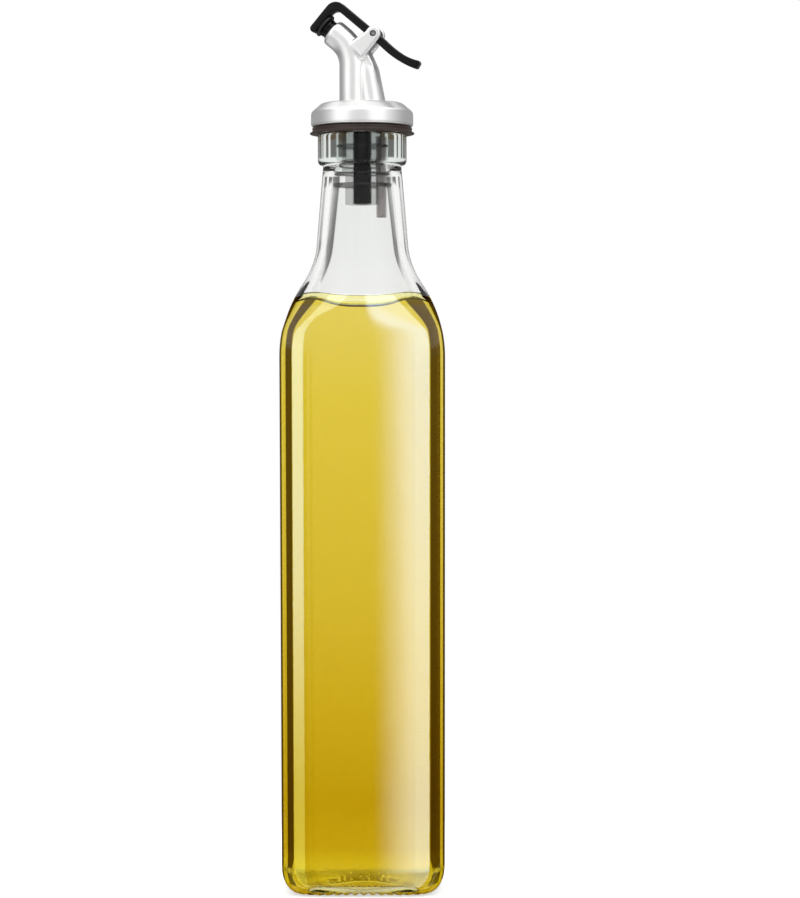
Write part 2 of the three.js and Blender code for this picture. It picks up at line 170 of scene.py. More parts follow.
@dataclass
class Skin:
    """Points and faces of one piece, gathered from grids, in millimetres.

    New points go through carry, a function of an array of points, if there is one.
    """

    carry: Callable[[np.ndarray], np.ndarray] | None = None
    points: list[np.ndarray] = field(default_factory=list)
    faces: list[list[int]] = field(default_factory=list)

    def _start(self, points: np.ndarray) -> int:
        """Stores points.

        Args:
            points: array of points of any shape (..., 3).

        Returns:
            Number of the first of them.
        """
        first = sum(len(p) for p in self.points)
        flat = points.reshape(-1, 3)
        self.points.append(self.carry(flat) if self.carry else flat)
        return first

    def grid(self, points: np.ndarray) -> "Skin":
        """Adds a grid of rows that each close on themselves.

        Args:
            points: array of (rows, columns, 3). A row whose points are all alike is a pole.

        Returns:
            The skin itself.
        """
        rows, columns = points.shape[:2]
        first = self._start(points)
        low = first + np.arange(rows - 1)[:, None] * columns + np.arange(columns)[None, :]
        right = first + np.arange(rows - 1)[:, None] * columns + (np.arange(columns)[None, :] + 1) % columns
        self.faces += np.stack([low, right, right + columns, low + columns], axis=-1).reshape(-1, 4).tolist()
        return self

    def lathe(self, outline: np.ndarray, segments: int) -> "Skin":
        """Turns an outline of (radius, height) about +Z.

        The point at angle a is (r cos a, r sin a, z). The outline starts and ends on the axis, or closes
        on itself.

        Args:
            outline: radius and height, one point a row.
            segments: number of columns.

        Returns:
            The skin itself.
        """
        angle = np.linspace(0.0, 2 * math.pi, segments, endpoint=False)
        radius, height = outline[:, :1], outline[:, 1:]
        upright = np.broadcast_to(height, (len(outline), segments))
        return self.grid(np.stack([radius * np.cos(angle), radius * np.sin(angle), upright], axis=-1))

    def tube(self, path: np.ndarray, radii: np.ndarray, segments: int) -> "Skin":
        """Carries a circle along a path in the XZ plane.

        At each point of the path the circle lies in the plane of +Y and the path's own normal.

        Args:
            path: (x, z) points, one a row.
            radii: radius at each point, 0 to close an end.
            segments: number of columns.

        Returns:
            The skin itself.
        """
        along = np.gradient(path, axis=0)
        along /= np.maximum(np.linalg.norm(along, axis=1, keepdims=True), 1e-9)
        angle = np.linspace(0.0, 2 * math.pi, segments, endpoint=False)
        out = radii[:, None] * np.cos(angle)
        points = np.stack(
            [
                path[:, :1] - along[:, 1:] * out,
                radii[:, None] * np.sin(angle),
                path[:, 1:] + along[:, :1] * out,
            ],
            axis=-1,
        )
        return self.grid(points)

    def slab(self, outline: np.ndarray, low: float, high: float, round_over: float, steps: int = 5) -> "Skin":
        """Extrudes an outline of (u, v) along w with rounded rims.

        The rim is a quarter circle: at angle a the outline is inset by r (1 - cos a) and stands r (1 - sin a)
        below the face.

        Args:
            outline: closed outline, anticlockwise.
            low: lower w.
            high: upper w.
            round_over: radius of the rims.
            steps: stretches in a rim.

        Returns:
            The skin itself.
        """
        angle = np.radians(np.linspace(90.0, 0.0, steps + 1))
        drop = round_over * (1 - np.sin(angle))
        rings = [(low + d, i) for d, i in zip(drop, round_over * (1 - np.cos(angle)))]
        rings += [(high - d, i) for d, i in zip(drop[::-1], round_over * (1 - np.cos(angle[::-1])))]
        layers = []
        for w, depth in rings:
            ring = inset(outline, depth) if depth > 0 else outline
            layers.append(np.column_stack([ring, np.full(len(ring), w)]))
        count = len(outline)
        first = sum(len(p) for p in self.points)
        self.grid(np.stack(layers))
        last = first + (len(layers) - 1) * count
        self.faces.append(list(range(first + count - 1, first - 1, -1)))
        self.faces.append(list(range(last, last + count)))
        return self

    def mesh(self, name: str, sharp: float = 40.0) -> bpy.types.Object:
        """Makes the object.

        Args:
            name: the piece's name.
            sharp: edges that turn by more than this many degrees stay sharp.

        Returns:
            The new object, linked to the scene, at the origin.
        """
        data = bpy.data.meshes.new(name)
        data.from_pydata(np.concatenate(self.points) * MM, [], self.faces)
        tidy = bmesh.new()
        tidy.from_mesh(data)
        bmesh.ops.remove_doubles(tidy, verts=tidy.verts, dist=1e-7)
        bmesh.ops.dissolve_degenerate(tidy, edges=tidy.edges, dist=1e-8)
        bmesh.ops.recalc_face_normals(tidy, faces=tidy.faces)
        tidy.to_mesh(data)
        tidy.free()
        return linked(name, data, sharp)


def linked(name: str, data: bpy.types.Mesh, sharp: float) -> bpy.types.Object:
    """Links a mesh to the scene.

    Args:
        name: the piece's name.
        data: its mesh.
        sharp: edges that turn by more than this many degrees stay sharp.

    Returns:
        The new object.
    """
    data.shade_smooth()
    data.set_sharp_from_angle(angle=math.radians(sharp))
    piece = bpy.data.objects.new(name, data)
    bpy.context.scene.collection.objects.link(piece)
    return piece


def settled(piece: bpy.types.Object) -> bpy.types.Object:
    """Applies a piece's modifiers to its mesh.

    Args:
        piece: object with modifiers.

    Returns:
        The piece.
    """
    depsgraph = bpy.context.evaluated_depsgraph_get()
    made = bpy.data.meshes.new_from_object(piece.evaluated_get(depsgraph))
    piece.modifiers.clear()
    old, piece.data = piece.data, made
    bpy.data.meshes.remove(old)
    return piece


def fused(piece: bpy.types.Object, voxel: float, rounds: int) -> bpy.types.Object:
    """Joins a piece's overlapping shells into one soft skin.

    Args:
        piece: object of closed shells.
        voxel: cell size in millimetres.
        rounds: smoothing rounds, each of which moves a point half way to the mean of its neighbours.

    Returns:
        The piece.
    """
    remesh = piece.modifiers.new("skin", "REMESH")
    remesh.mode = "VOXEL"
    remesh.voxel_size = voxel * MM
    remesh.use_smooth_shade = True
    soften = piece.modifiers.new("soften", "SMOOTH")
    soften.factor = 0.5
    soften.iterations = rounds
    return settled(piece)


def cut(piece: bpy.types.Object, *tools: bpy.types.Object) -> bpy.types.Object:
    """Takes the tools' shapes out of a piece.

    Args:
        piece: object to cut.
        tools: closed shapes, which are removed afterwards.

    Returns:
        The piece.
    """
    for tool in tools:
        boolean = piece.modifiers.new("cut", "BOOLEAN")
        boolean.operation = "DIFFERENCE"
        boolean.solver = "EXACT"
        boolean.object = tool
    settled(piece)
    for tool in tools:
        bpy.data.objects.remove(tool)
    return piece


# Shader maths


class Value:
    """A shader socket that holds a number, with the arithmetic that the finishes use."""

    def __init__(self, shader: "Shader", socket: Socket) -> None:
        """Wraps a socket of a shader."""
        self.shader = shader
        self.socket = socket

    def _maths(self, operation: str, *operands: "Value | float") -> "Value":
        """Returns the result of a Math node."""
        made = self.shader.node("ShaderNodeMath", {"operation": operation}, dict(enumerate(operands)))
        return Value(self.shader, made.outputs[0])

    def __add__(self, other: "Value | float") -> "Value":
        """Sum."""
        return self._maths("ADD", self, other)

    def __radd__(self, other: float) -> "Value":
        """Sum with a number on the left."""
        return self._maths("ADD", other, self)

    def __sub__(self, other: "Value | float") -> "Value":
        """Difference."""
        return self._maths("SUBTRACT", self, other)

    def __rsub__(self, other: float) -> "Value":
        """Difference from a number."""
        return self._maths("SUBTRACT", other, self)

    def __mul__(self, other: "Value | float") -> "Value":
        """Product."""
        return self._maths("MULTIPLY", self, other)

    def __rmul__(self, other: float) -> "Value":
        """Product with a number on the left."""
        return self._maths("MULTIPLY", other, self)

    def between(self, start: float, end: float) -> "Value":
        """Soft step.

        Args:
            start: where it is still 0.
            end: where it reaches 1, which may be above or below start.

        Returns:
            The step, 3t^2 - 2t^3 with t the share of the way from start to end.
        """
        inputs = {
            "Value": self,
            "From Min": min(start, end),
            "From Max": max(start, end),
            "To Min": 0.0 if start < end else 1.0,
            "To Max": 1.0 if start < end else 0.0,
        }
        made = self.shader.node("ShaderNodeMapRange", {"interpolation_type": "SMOOTHSTEP"}, inputs)
        return Value(self.shader, made.outputs[0])

    def band(self, edges: Edges) -> "Value":
        """Soft band that rises over the first two edges and falls over the last two."""
        return self.between(edges[0], edges[1]) * self.between(edges[3], edges[2])


class Shader:
    """A node tree that is filled by one method."""

    def __init__(self, tree: bpy.types.NodeTree) -> None:
        """Empties the tree and keeps it."""
        tree.nodes.clear()
        self.tree = tree

    def node(self, kind: str, settings: dict | None = None, inputs: dict | None = None) -> bpy.types.Node:
        """Adds a node.

        Args:
            kind: the node's type.
            settings: its properties, set before its sockets; "stops" are a colour ramp's.
            inputs: a value, a Value or a socket for each input, by name or number.

        Returns:
            The node.
        """
        made = self.tree.nodes.new(kind)
        for key, value in (settings or {}).items():
            if key == "stops":
                elements = made.color_ramp.elements
                while len(elements) < len(value):
                    elements.new(1.0)
                for element, (place, colour) in zip(elements, value):
                    element.position = place
                    element.color = (*colour, 1.0)
            else:
                setattr(made, key, value)
        for key, value in (inputs or {}).items():
            target = made.inputs[key]
            if isinstance(value, Value):
                self.tree.links.new(value.socket, target)
            elif isinstance(value, Socket):
                self.tree.links.new(value, target)
            elif isinstance(value, tuple) and len(value) == 3 and target.type == "RGBA":
                target.default_value = (*value, 1.0)
            else:
                target.default_value = value
        return made

    def parts(self, vector: Socket) -> list[Value]:
        """Returns the x, y and z of a vector."""
        split = self.node("ShaderNodeSeparateXYZ", None, {0: vector})
        return [Value(self, split.outputs[k]) for k in range(3)]

    def place(self) -> tuple[Socket, Value]:
        """Returns the Object coordinates as a vector, and their height in metres."""
        vector = self.node("ShaderNodeTexCoord").outputs["Object"]
        return vector, self.parts(vector)[2]

    def length(self, vector: Socket) -> Value:
        """Length of a vector."""
        made = self.node("ShaderNodeVectorMath", {"operation": "LENGTH"}, {0: vector})
        return Value(self, made.outputs["Value"])

    def turn(self, across: Value, along: Value, limit: float) -> Value:
        """Angle of a direction.

        Args:
            across: its part towards a quarter turn.
            along: its part towards 0 degrees.
            limit: the angle is wrapped to lie between -limit and limit.

        Returns:
            Degrees.
        """
        angle = self.node("ShaderNodeMath", {"operation": "ARCTAN2"}, {0: across, 1: along})
        degrees = Value(self, angle.outputs[0]) * math.degrees(1)
        wrapped = self.node("ShaderNodeMath", {"operation": "WRAP"}, {0: degrees, 1: limit, 2: -limit})
        return Value(self, wrapped.outputs[0])

    def noise(self, vector: Socket, scale: float, detail: float = 2.0) -> Value:
        """Noise between 0 and 1, with scale in waves a metre."""
        inputs = {"Vector": vector, "Scale": scale, "Detail": detail}
        return Value(self, self.node("ShaderNodeTexNoise", None, inputs).outputs[0])

    def blend(self, share: Value, first: Shade, second: Shade) -> Socket:
        """Mixes two colours: first where share is 0, second where it is 1."""
        settings = {"data_type": "RGBA"}
        return self.node("ShaderNodeMix", settings, {"Factor": share, 6: first, 7: second}).outputs[2]

    def by_height(self, z: Value, shades: tuple[tuple[float, Colour], ...]) -> Socket:
        """Colour that changes with height.

        Args:
            z: height in metres.
            shades: (height in metres, colour) from low to high.

        Returns:
            The colour.
        """
        low, high = shades[0][0], shades[-1][0]
        stops = [((height - low) / (high - low), colour) for height, colour in shades]
        share = (z - low) * (1 / (high - low))
        return self.node("ShaderNodeValToRGB", {"stops": stops}, {0: share}).outputs[0]

    def scaled(self, colour: Shade, share: Value) -> Socket:
        """Colour times a number."""
        inputs = {0: colour, "Scale": share}
        return self.node("ShaderNodeVectorMath", {"operation": "SCALE"}, inputs).outputs[0]

    def combined(self, operation: str, first: Shade, second: Shade) -> Socket:
        """Sum, product or the like of two colours or vectors, named by operation."""
        return self.node("ShaderNodeVectorMath", {"operation": operation}, {0: first, 1: second}).outputs[0]

    def bump(self, height: Value, strength: float, depth: float) -> Socket:
        """Normal bumped by height, where 1 stands for depth metres."""
        inputs = {"Height": height, "Strength": strength, "Distance": depth}
        return self.node("ShaderNodeBump", None, inputs).outputs[0]

    def surface(self, inputs: dict, absorption: dict | None = None) -> None:
        """Adds a Principled shader and joins it to the output.

        Args:
            inputs: the shader's inputs.
            absorption: inputs of the absorption inside, if there is any.
        """
        ends = {"Surface": self.node("ShaderNodeBsdfPrincipled", None, inputs).outputs[0]}
        if absorption:
            ends["Volume"] = self.node("ShaderNodeVolumeAbsorption", None, absorption).outputs[0]
        self.node("ShaderNodeOutputMaterial", None, ends)


def new_material(name: str) -> tuple[bpy.types.Material, Shader]:
    """Makes an empty material and returns it with its shader."""
    material = bpy.data.materials.new(name)
    material.use_nodes = True
    return material, Shader(material.node_tree)


# Finishes


@dataclass(frozen=True)
class ClearGlass:
    """Clear flint glass, with the slow waves that a mould leaves and a faint smear of tone.

    Its shades are (height in metres, colour) and paint light and shade: the heel is painted with the
    oil's golden light, darkest at its very bottom; the neck is grey, part the glass's own tint and part
    painted shade; and the thick collar is darker still, painted shade under the gasket. Its mirror scales
    how strongly it reflects head-on.
    """

    name: str
    shades: tuple[tuple[float, Colour], ...]
    mirror: float = 1.0
    roughness: float = 0.0
    slot: str = "clear_glass"
    smear: Colour = (0.975, 0.98, 0.975)
    smear_share: float = 0.5
    smear_size: float = 0.4
    ior: float = 1.52
    wave: float = 55.0
    wave_depth: float = 0.00002
    wave_strength: float = 0.6

    def material(self) -> bpy.types.Material:
        """Returns the finished material."""
        made, shader = new_material(self.name)
        vector, z = shader.place()
        waves = shader.noise(vector, self.wave, 1.0)
        smear = shader.noise(vector, self.wave * self.smear_size) * self.smear_share
        shader.surface(
            {
                "Base Color": shader.blend(smear, shader.by_height(z, self.shades), self.smear),
                "Roughness": self.roughness,
                "IOR": self.ior,
                "Specular Tint": (self.mirror, self.mirror, self.mirror),
                "Transmission Weight": 1.0,
                "Normal": shader.bump(waves, self.wave_strength, self.wave_depth),
            }
        )
        return made


# Painted light: the golden stops at the heel stand in for the oil's light carried down into the clear glass,
# and the lowest, darkest stop is painted shade.
BODY_GLASS = ClearGlass(
    "body_glass",
    (
        (0.0008, (0.5, 0.36, 0.06)),
        (0.0026, (0.9, 0.82, 0.38)),
        (0.0068, (0.97, 0.94, 0.6)),
        (0.0105, (0.99, 0.99, 0.985)),
    ),
)
# Painted shade: the neck's faint grey is part the glass's own tint and part painted shade, and the darker
# collar stops paint the shade under the gasket.
NECK_GLASS = ClearGlass(
    "neck_glass",
    (
        (0.2075, (0.825, 0.83, 0.815)),
        (0.2522, (0.8, 0.81, 0.795)),
        (0.2536, (0.6, 0.65, 0.62)),
        (0.2636, (0.5, 0.54, 0.52)),
    ),
    mirror=0.25,
    roughness=0.012,
)


@dataclass(frozen=True)
class GoldenOil:
    """Clear golden oil, deeper towards the foot.

    Light that crosses the body keeps exp(-density (1 - kept) path) of each colour, and the skin's colour
    adds painted shade that darkens it further from the shoulder down, painted light that lightens it at the
    foot, and a yellow tint on the film above the level.
    """

    name: str = "golden_oil"
    slot: str = "golden_oil"
    kept: Colour = (0.895, 0.817, 0.067)
    density: float = 60.0
    ior: float = 1.47
    # Painted shade and light by height: darkest just above the foot, lighter at the foot itself where light
    # comes through the thick floor, and paler up towards the shoulder; the film above the level is tinted
    # yellow.
    shades: tuple[tuple[float, Colour], ...] = (
        (0.0085, (0.93, 0.87, 0.22)),
        (0.0125, (0.74, 0.6, 0.06)),
        (0.0306, (0.675, 0.526, 0.034)),
        (0.0656, (0.793, 0.665, 0.125)),
        (0.1006, (0.874, 0.784, 0.307)),
        (0.1706, (0.97, 0.934, 0.596)),
        (0.195, (1.0, 1.0, 1.0)),
        (0.2021, (1.0, 1.0, 1.0)),
        (0.2028, (1.0, 0.95, 0.48)),
    )

    def material(self) -> bpy.types.Material:
        """Returns the finished material."""
        made, shader = new_material(self.name)
        _, z = shader.place()
        shader.surface(
            {
                "Base Color": shader.by_height(z, self.shades),
                "Roughness": 0.0,
                "IOR": self.ior,
                "Transmission Weight": 1.0,
                "Specular Tint": (0.0, 0.0, 0.0),
            },
            absorption={"Color": self.kept, "Density": self.density},
        )
        return made


OIL = GoldenOil()
# Painted shade: a dark olive band on the faces where the oil's surface bends up to the film.
OIL_RIM_SHADE = GoldenOil("oil_rim_painted_shade", shades=((0.2, (0.1, 0.07, 0.0)), (0.21, (0.16, 0.12, 0.0))))


@dataclass(frozen=True)
class Moulded:
    """Moulded plastic or rubber: a faint mottle of colour and gloss, and a fine grain.

    Where clear is above 0, that share of the light passes. Fins, which stand out past fin_radius from the
    axis, carry painted shade: they are darker and let less through.
    """

    name: str
    slot: str
    colour: Colour
    mottle: Colour
    roughness: float
    roughness_spread: float = 0.06
    cloud: float = 160.0
    grain: float = 1400.0
    grain_depth: float = 0.00002
    grain_strength: float = 0.35
    metallic: float = 0.0
    clear: float = 0.0
    clear_spread: float = 0.2
    ior: float = 1.48
    fin_radius: float = 0.0
    fin_edge: float = 0.0004
    fin_shade_cover: float = 0.5
    fin_shade: Colour = (0.05, 0.055, 0.055)

    def material(self) -> bpy.types.Material:
        """Returns the finished material."""
        made, shader = new_material(self.name)
        vector, _ = shader.place()
        cloud = shader.noise(vector, self.cloud, 3.0)
        grain = shader.noise(vector, self.grain)
        colour = shader.blend(cloud, self.colour, self.mottle)
        opaque = 1.0 - self.clear * (1.0 - self.clear_spread / 2 + self.clear_spread * cloud)
        # Painted shade: fins past fin_radius are darkened and let less light through.
        if self.fin_radius:
            radius = shader.length(shader.combined("MULTIPLY", vector, (1.0, 1.0, 0.0)))
            fin = radius.between(self.fin_radius, self.fin_radius + self.fin_edge)
            colour = shader.blend(fin, colour, self.fin_shade)
            opaque = opaque + self.fin_shade_cover * fin
        shader.surface(
            {
                "Base Color": colour,
                "Roughness": self.roughness + self.roughness_spread * (cloud - 0.5),
                "Metallic": self.metallic,
                "IOR": self.ior,
                "Alpha": opaque,
                "Normal": shader.bump(grain, self.grain_strength, self.grain_depth),
            }
        )
        return made


SILVER = Moulded(
    "satin_silver",
    "satin_silver",
    colour=(0.87, 0.87, 0.865),
    mottle=(0.82, 0.82, 0.815),
    roughness=0.3,
    metallic=0.8,
    grain=2600.0,
)
BLACK = Moulded(
    "black_plastic",
    "black_plastic",
    colour=(0.002, 0.002, 0.002),
    mottle=(0.005, 0.004, 0.004),
    roughness=0.12,
    roughness_spread=0.03,
    ior=1.28,
)
RUBBER = Moulded(
    "black_rubber",
    "black_rubber",
    colour=(0.006, 0.006, 0.006),
    mottle=(0.014, 0.013, 0.013),
    roughness=0.4,
    ior=1.4,
)
BROWN = Moulded(
    "brown_rubber",
    "brown_rubber",
    colour=(0.026, 0.015, 0.011),
    mottle=(0.045, 0.028, 0.021),
    roughness=0.34,
    ior=1.38,
)
STEEL = Moulded(
    "pin_steel",
    "pin_steel",
    colour=(0.45, 0.45, 0.46),
    mottle=(0.3, 0.3, 0.31),
    roughness=0.3,
    metallic=1.0,
)
SMOKED = Moulded(
    "smoked_plastic",
    "smoked_plastic",
    colour=(0.001, 0.001, 0.002),
    mottle=(0.004, 0.004, 0.005),
    roughness=0.3,
    clear=0.02,
    ior=1.08,
)
PLUG = Moulded(
    "clear_plastic",
    "clear_plastic",
    colour=(0.03, 0.032, 0.035),
    mottle=(0.018, 0.02, 0.022),
    roughness=0.2,
    clear=0.74,
    ior=1.1,
    # The plug's fins get painted shade.
    fin_radius=0.0075,
)
AIRWAY = Moulded(
    "air_tube_plastic",
    "clear_plastic",
    colour=(0.8, 0.74, 0.75),
    mottle=(0.68, 0.62, 0.64),
    roughness=0.2,
    clear=0.45,
)


@dataclass(frozen=True)
class AirInOil:
    """Skin of a bubble, whose glint is a faint painted glow. Its faces look inwards, so that light goes from
    oil to air there.
    """

    slot: str = "golden_oil"
    pale: Colour = (1.0, 0.98, 0.9)
    deep: Colour = (1.0, 0.94, 0.8)
    cloud: float = 90.0
    ior: float = 1.07
    glint: Colour = (1.0, 0.85, 0.3)
    glint_strength: float = 0.09

    def material(self) -> bpy.types.Material:
        """Returns the finished material."""
        made, shader = new_material("air_in_oil")
        vector, _ = shader.place()
        shader.surface(
            {
                "Base Color": shader.blend(shader.noise(vector, self.cloud), self.pale, self.deep),
                "Roughness": 0.0,
                "IOR": self.ior,
                "Transmission Weight": 1.0,
                # Painted glint: a faint golden glow that stands in for light caught by the bubble.
                "Emission Color": self.glint,
                "Emission Strength": self.glint_strength,
            }
        )
        return made


Finish = ClearGlass | GoldenOil | AirInOil | Moulded


def dress(piece: bpy.types.Object, finish: Finish, body: Body, *nodes: str) -> None:
    """Gives a piece its finish and body, and hides the nodes that it stands for.

    Args:
        piece: the finished mesh.
        finish: its finish.
        body: the body it rides on.
        nodes: the solids that it replaces.
    """
    piece.data.materials.clear()
    piece.data.materials.append(finish.material())
    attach(piece, body.value)
    if nodes:
        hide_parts(*nodes)
    log.info("%s: %d faces on %s", piece.name, len(piece.data.polygons), body.value)


# Glass and oil


@dataclass
class Plan:
    """Plan of the bottle: a rounded square with faintly bowed sides, round in the neck and at the axis.

    Corner is the corner's radius, and side_curve 1 over the side's, both for a half width of 1.
    """

    corner: float = 0.347
    side_curve: float = 1 / 24
    square_until: float = 193.0
    round_from: float = 218.0
    round_at_axis: float = 17.2
    columns: int = 336

    def reach(self, angle: np.ndarray, roundness: np.ndarray) -> np.ndarray:
        """Distance from the axis to the plan along an angle, for a plan of half width 1.

        The side is an arc of radius R about (1 - R, 0), and the corner an arc of radius r about (k, k), which
        meets it where both have the same tangent, at a with sin(a - 45) = (1 - R) / (sqrt 2 (R - r)).

        Args:
            angle: angles about the axis.
            roundness: 0 for the body's square to 1 for a circle, shaped to broadcast with angle.

        Returns:
            Distances.
        """
        near = np.mod(angle, math.pi / 2)
        near = np.minimum(near, math.pi / 2 - near)
        corner = self.corner + (1 - self.corner) * roundness
        side = 1 / (self.side_curve + (1 - self.side_curve) * roundness)
        gap = np.maximum(side - corner, 1e-6)
        turn = math.pi / 4 + np.arcsin(np.clip((1 - side) / (math.sqrt(2) * gap), -1, 1))
        middle = gap * np.sin(turn)
        switch = np.arctan2(side * np.sin(turn), 1 - side + side * np.cos(turn))
        on_side = (1 - side) * np.cos(near) + np.sqrt(side**2 - ((1 - side) * np.sin(near)) ** 2)
        under = np.maximum(corner**2 - middle**2 * (1 - np.sin(2 * near)), 0.0)
        on_corner = middle * (np.cos(near) + np.sin(near)) + np.sqrt(under)
        return np.where(near <= switch, on_side, on_corner)

    def angles(self) -> np.ndarray:
        """Angles of the columns, even along the body's outline."""
        fine = np.linspace(0.0, 2 * math.pi, 7201)
        reach = self.reach(fine, np.zeros(1))
        steps = np.hypot(np.diff(reach * np.cos(fine)), np.diff(reach * np.sin(fine)))
        length = np.concatenate([[0.0], np.cumsum(steps)])
        return np.interp(np.linspace(0.0, length[-1], self.columns, endpoint=False), length, fine)

    def wrapped(self, half: np.ndarray, height: np.ndarray) -> np.ndarray:
        """Carries half widths and heights round the plan.

        Args:
            half: half width of each row, or of each row and column.
            height: height of each row, or of each row and column.

        Returns:
            Grid of points, (rows, columns, 3).
        """
        to_neck = smooth(height, self.square_until, self.round_from)
        to_axis = 1 - smooth(half, 0.0, self.round_at_axis)
        angle = self.angles()[None, :]
        reach = half * self.reach(angle, np.maximum(to_neck, to_axis))
        points = [reach * np.cos(angle), reach * np.sin(angle), np.broadcast_to(height, reach.shape)]
        return np.stack(points, axis=-1)


@dataclass
class Glass:
    """The bottle: heel, sides, shoulder, neck, collar and the hollow inside.

    A heel is (reach, height) of its quarter ellipse, and a point of the neck (radius, height). Under_collar
    is how far out from the neck's top the hollow below the collar leans and ends. The grooves fade over
    knurl_top, in millimetres, and over knurl_inner, in shares of the ring's inner half width.
    """

    plan: Plan
    foot_half: float = 28.3
    shoulder_half: float = 28.8
    wall: float = 3.0
    heel: Pair = (6.6, 9.5)
    ring_inner: float = 17.2
    push_up: float = 2.8
    push_up_flank: float = 9.0
    floor: float = 4.6
    floor_crown: float = 6.6
    inner_heel: Pair = (5.6, 8.5)
    shoulder_start: float = 185.4
    shoulder_radius: float = 46.5
    shoulder_sweep: float = 33.8
    neck_foot: Pair = (16.0, 224.6)
    neck_top: Pair = (13.75, 251.5)
    collar_radius: float = 15.55
    collar_bottom: float = 252.9
    collar_top: float = 263.3
    collar_round: float = 1.9
    under_collar: Pair = (-0.1, 0.5)
    bore: float = 9.4
    bore_bottom: float = 253.0
    bore_flare: float = 247.0
    bore_bend: float = 250.5
    lip: float = 0.6
    neck_from: float = 206.6
    knurl_pitch: float = 2.7
    knurl_depth: float = 0.8
    knurl_top: Pair = (0.2, 1.6)
    knurl_inner: Pair = (0.72, 0.85)

    def shoulder(self, inset_by: float, steps: int) -> np.ndarray:
        """Shoulder arc at a depth inside the glass.

        Args:
            inset_by: depth below the outside.
            steps: number of stretches.

        Returns:
            Half width and height, one point a row.
        """
        radius = self.shoulder_radius - inset_by
        centre = (self.shoulder_half - self.shoulder_radius, self.shoulder_start)
        return arc(centre, (radius, radius), 0.0, self.shoulder_sweep, steps)

    def neck_hollow(self, shoulder_end: np.ndarray, inset_by: float, steps: int) -> np.ndarray:
        """Hollow curve from the shoulder to the foot of the neck, tangent to both.

        Args:
            shoulder_end: last point of the shoulder's arc.
            inset_by: depth below the outside.
            steps: number of stretches.

        Returns:
            Half width and height, one point a row.
        """
        foot = np.array([self.neck_foot[0] - inset_by, self.neck_foot[1]])
        neck_slope = (self.neck_top[0] - self.neck_foot[0]) / (self.neck_top[1] - self.neck_foot[1])
        shoulder_slope = -math.tan(math.radians(self.shoulder_sweep))
        rise = shoulder_end[0] - foot[0] - shoulder_slope * shoulder_end[1] + neck_slope * foot[1]
        meet_z = rise / (neck_slope - shoulder_slope)
        meet = np.array([foot[0] + neck_slope * (meet_z - foot[1]), meet_z])
        return bow(shoulder_end, meet, foot, steps)

    def sides(self, outset: float) -> np.ndarray:
        """Hollow's floor and heel, from the axis outwards.

        Args:
            outset: how far they are set into the glass.

        Returns:
            Half width and height, one point a row.
        """
        half = self.foot_half - self.wall + outset
        crown = self.floor_crown - outset
        reach, height = self.inner_heel
        heel = arc((half - reach, self.floor - outset + height), (reach, height), -90.0, 0.0, 18)
        floor = bow((0.0, crown), (heel[0, 0] / 2, crown), heel[0], 18)
        return np.vstack([floor[:-1], heel])

    def outside(self) -> np.ndarray:
        """Outside from the middle of the push-up to the lip."""
        reach, height = self.heel
        ring_outer = self.foot_half - reach
        rise = self.shoulder(0.0, 30)
        hollow = self.neck_hollow(rise[-1], 0.0, 22)
        top = self.neck_top
        collar, under = self.collar_radius, self.collar_bottom
        corner = self.collar_round
        lean, root = self.under_collar
        flank = self.ring_inner - self.push_up_flank
        return np.vstack(
            [
                bow((0.0, self.push_up), (flank, self.push_up), (self.ring_inner, 0.0), 16),
                line((self.ring_inner, 0.0), (ring_outer, 0.0), 7)[1:],
                arc((ring_outer, height), (reach, height), -90.0, 0.0, 22)[1:],
                line((self.foot_half, height), tuple(rise[0]), 12)[1:-1],
                rise,
                hollow[1:],
                line(tuple(hollow[-1]), top, 8)[1:],
                bow(top, (top[0] + lean, under), (top[0] + root, under), 5)[1:],
                arc((collar - corner / 2, under + corner), (corner / 2, corner), -90.0, 0.0, 7),
                line((collar, under + corner), (collar, self.collar_top - self.lip), 4)[1:-1],
                arc((collar - self.lip, self.collar_top - self.lip), (self.lip, self.lip), 0.0, 90.0, 5),
            ]
        )

    def inside(self) -> np.ndarray:
        """Inside from the axis on the floor up to the lip."""
        rise = self.shoulder(self.wall, 28)
        hollow = self.neck_hollow(rise[-1], self.wall, 20)
        neck = self.neck_top[0] - self.wall
        sides = self.sides(0.0)
        mouth = self.bore + self.lip
        return np.vstack(
            [
                sides,
                line(tuple(sides[-1]), tuple(rise[0]), 12)[1:-1],
                rise,
                hollow[1:],
                line(tuple(hollow[-1]), (neck, self.bore_flare), 8)[1:],
                bow((neck, self.bore_flare), (neck, self.bore_bend), (self.bore, self.bore_bottom), 8)[1:],
                line((self.bore, self.bore_bottom), (self.bore, self.collar_top - self.lip), 6)[1:-1],
                arc((mouth, self.collar_top - self.lip), (self.lip, self.lip), 180.0, 90.0, 5),
            ]
        )

    def knurled(self, points: np.ndarray, outside_rows: int) -> np.ndarray:
        """Cuts radial grooves up into the ring that the bottle stands on.

        The height gains depth (1 - cos(2 pi s / pitch)) / 2 with s the arc length round the ring, times a
        share that is 1 on the ring and fades over its two edges.

        Args:
            points: the bottle's grid.
            outside_rows: number of rows on the outside.

        Returns:
            The grid with the grooves.
        """
        middle = (self.ring_inner + self.foot_half - self.heel[0]) / 2
        ring = self.plan.wrapped(np.array([[middle]]), np.zeros((1, 1)))[0]
        length = np.cumsum(np.hypot(*(ring - np.roll(ring, 1, axis=0))[:, :2].T))
        count = round(length[-1] / self.knurl_pitch)
        wave = 0.5 - 0.5 * np.cos(2 * math.pi * count * length / length[-1])
        height = points[:outside_rows, :, 2]
        half = np.abs(points[:outside_rows, :, :2]).max(axis=2)
        inner = (self.ring_inner * share for share in self.knurl_inner)
        fade = (1 - smooth(height, *self.knurl_top)) * smooth(half, *inner)
        points[:outside_rows, :, 2] = height + self.knurl_depth * wave * fade
        return points

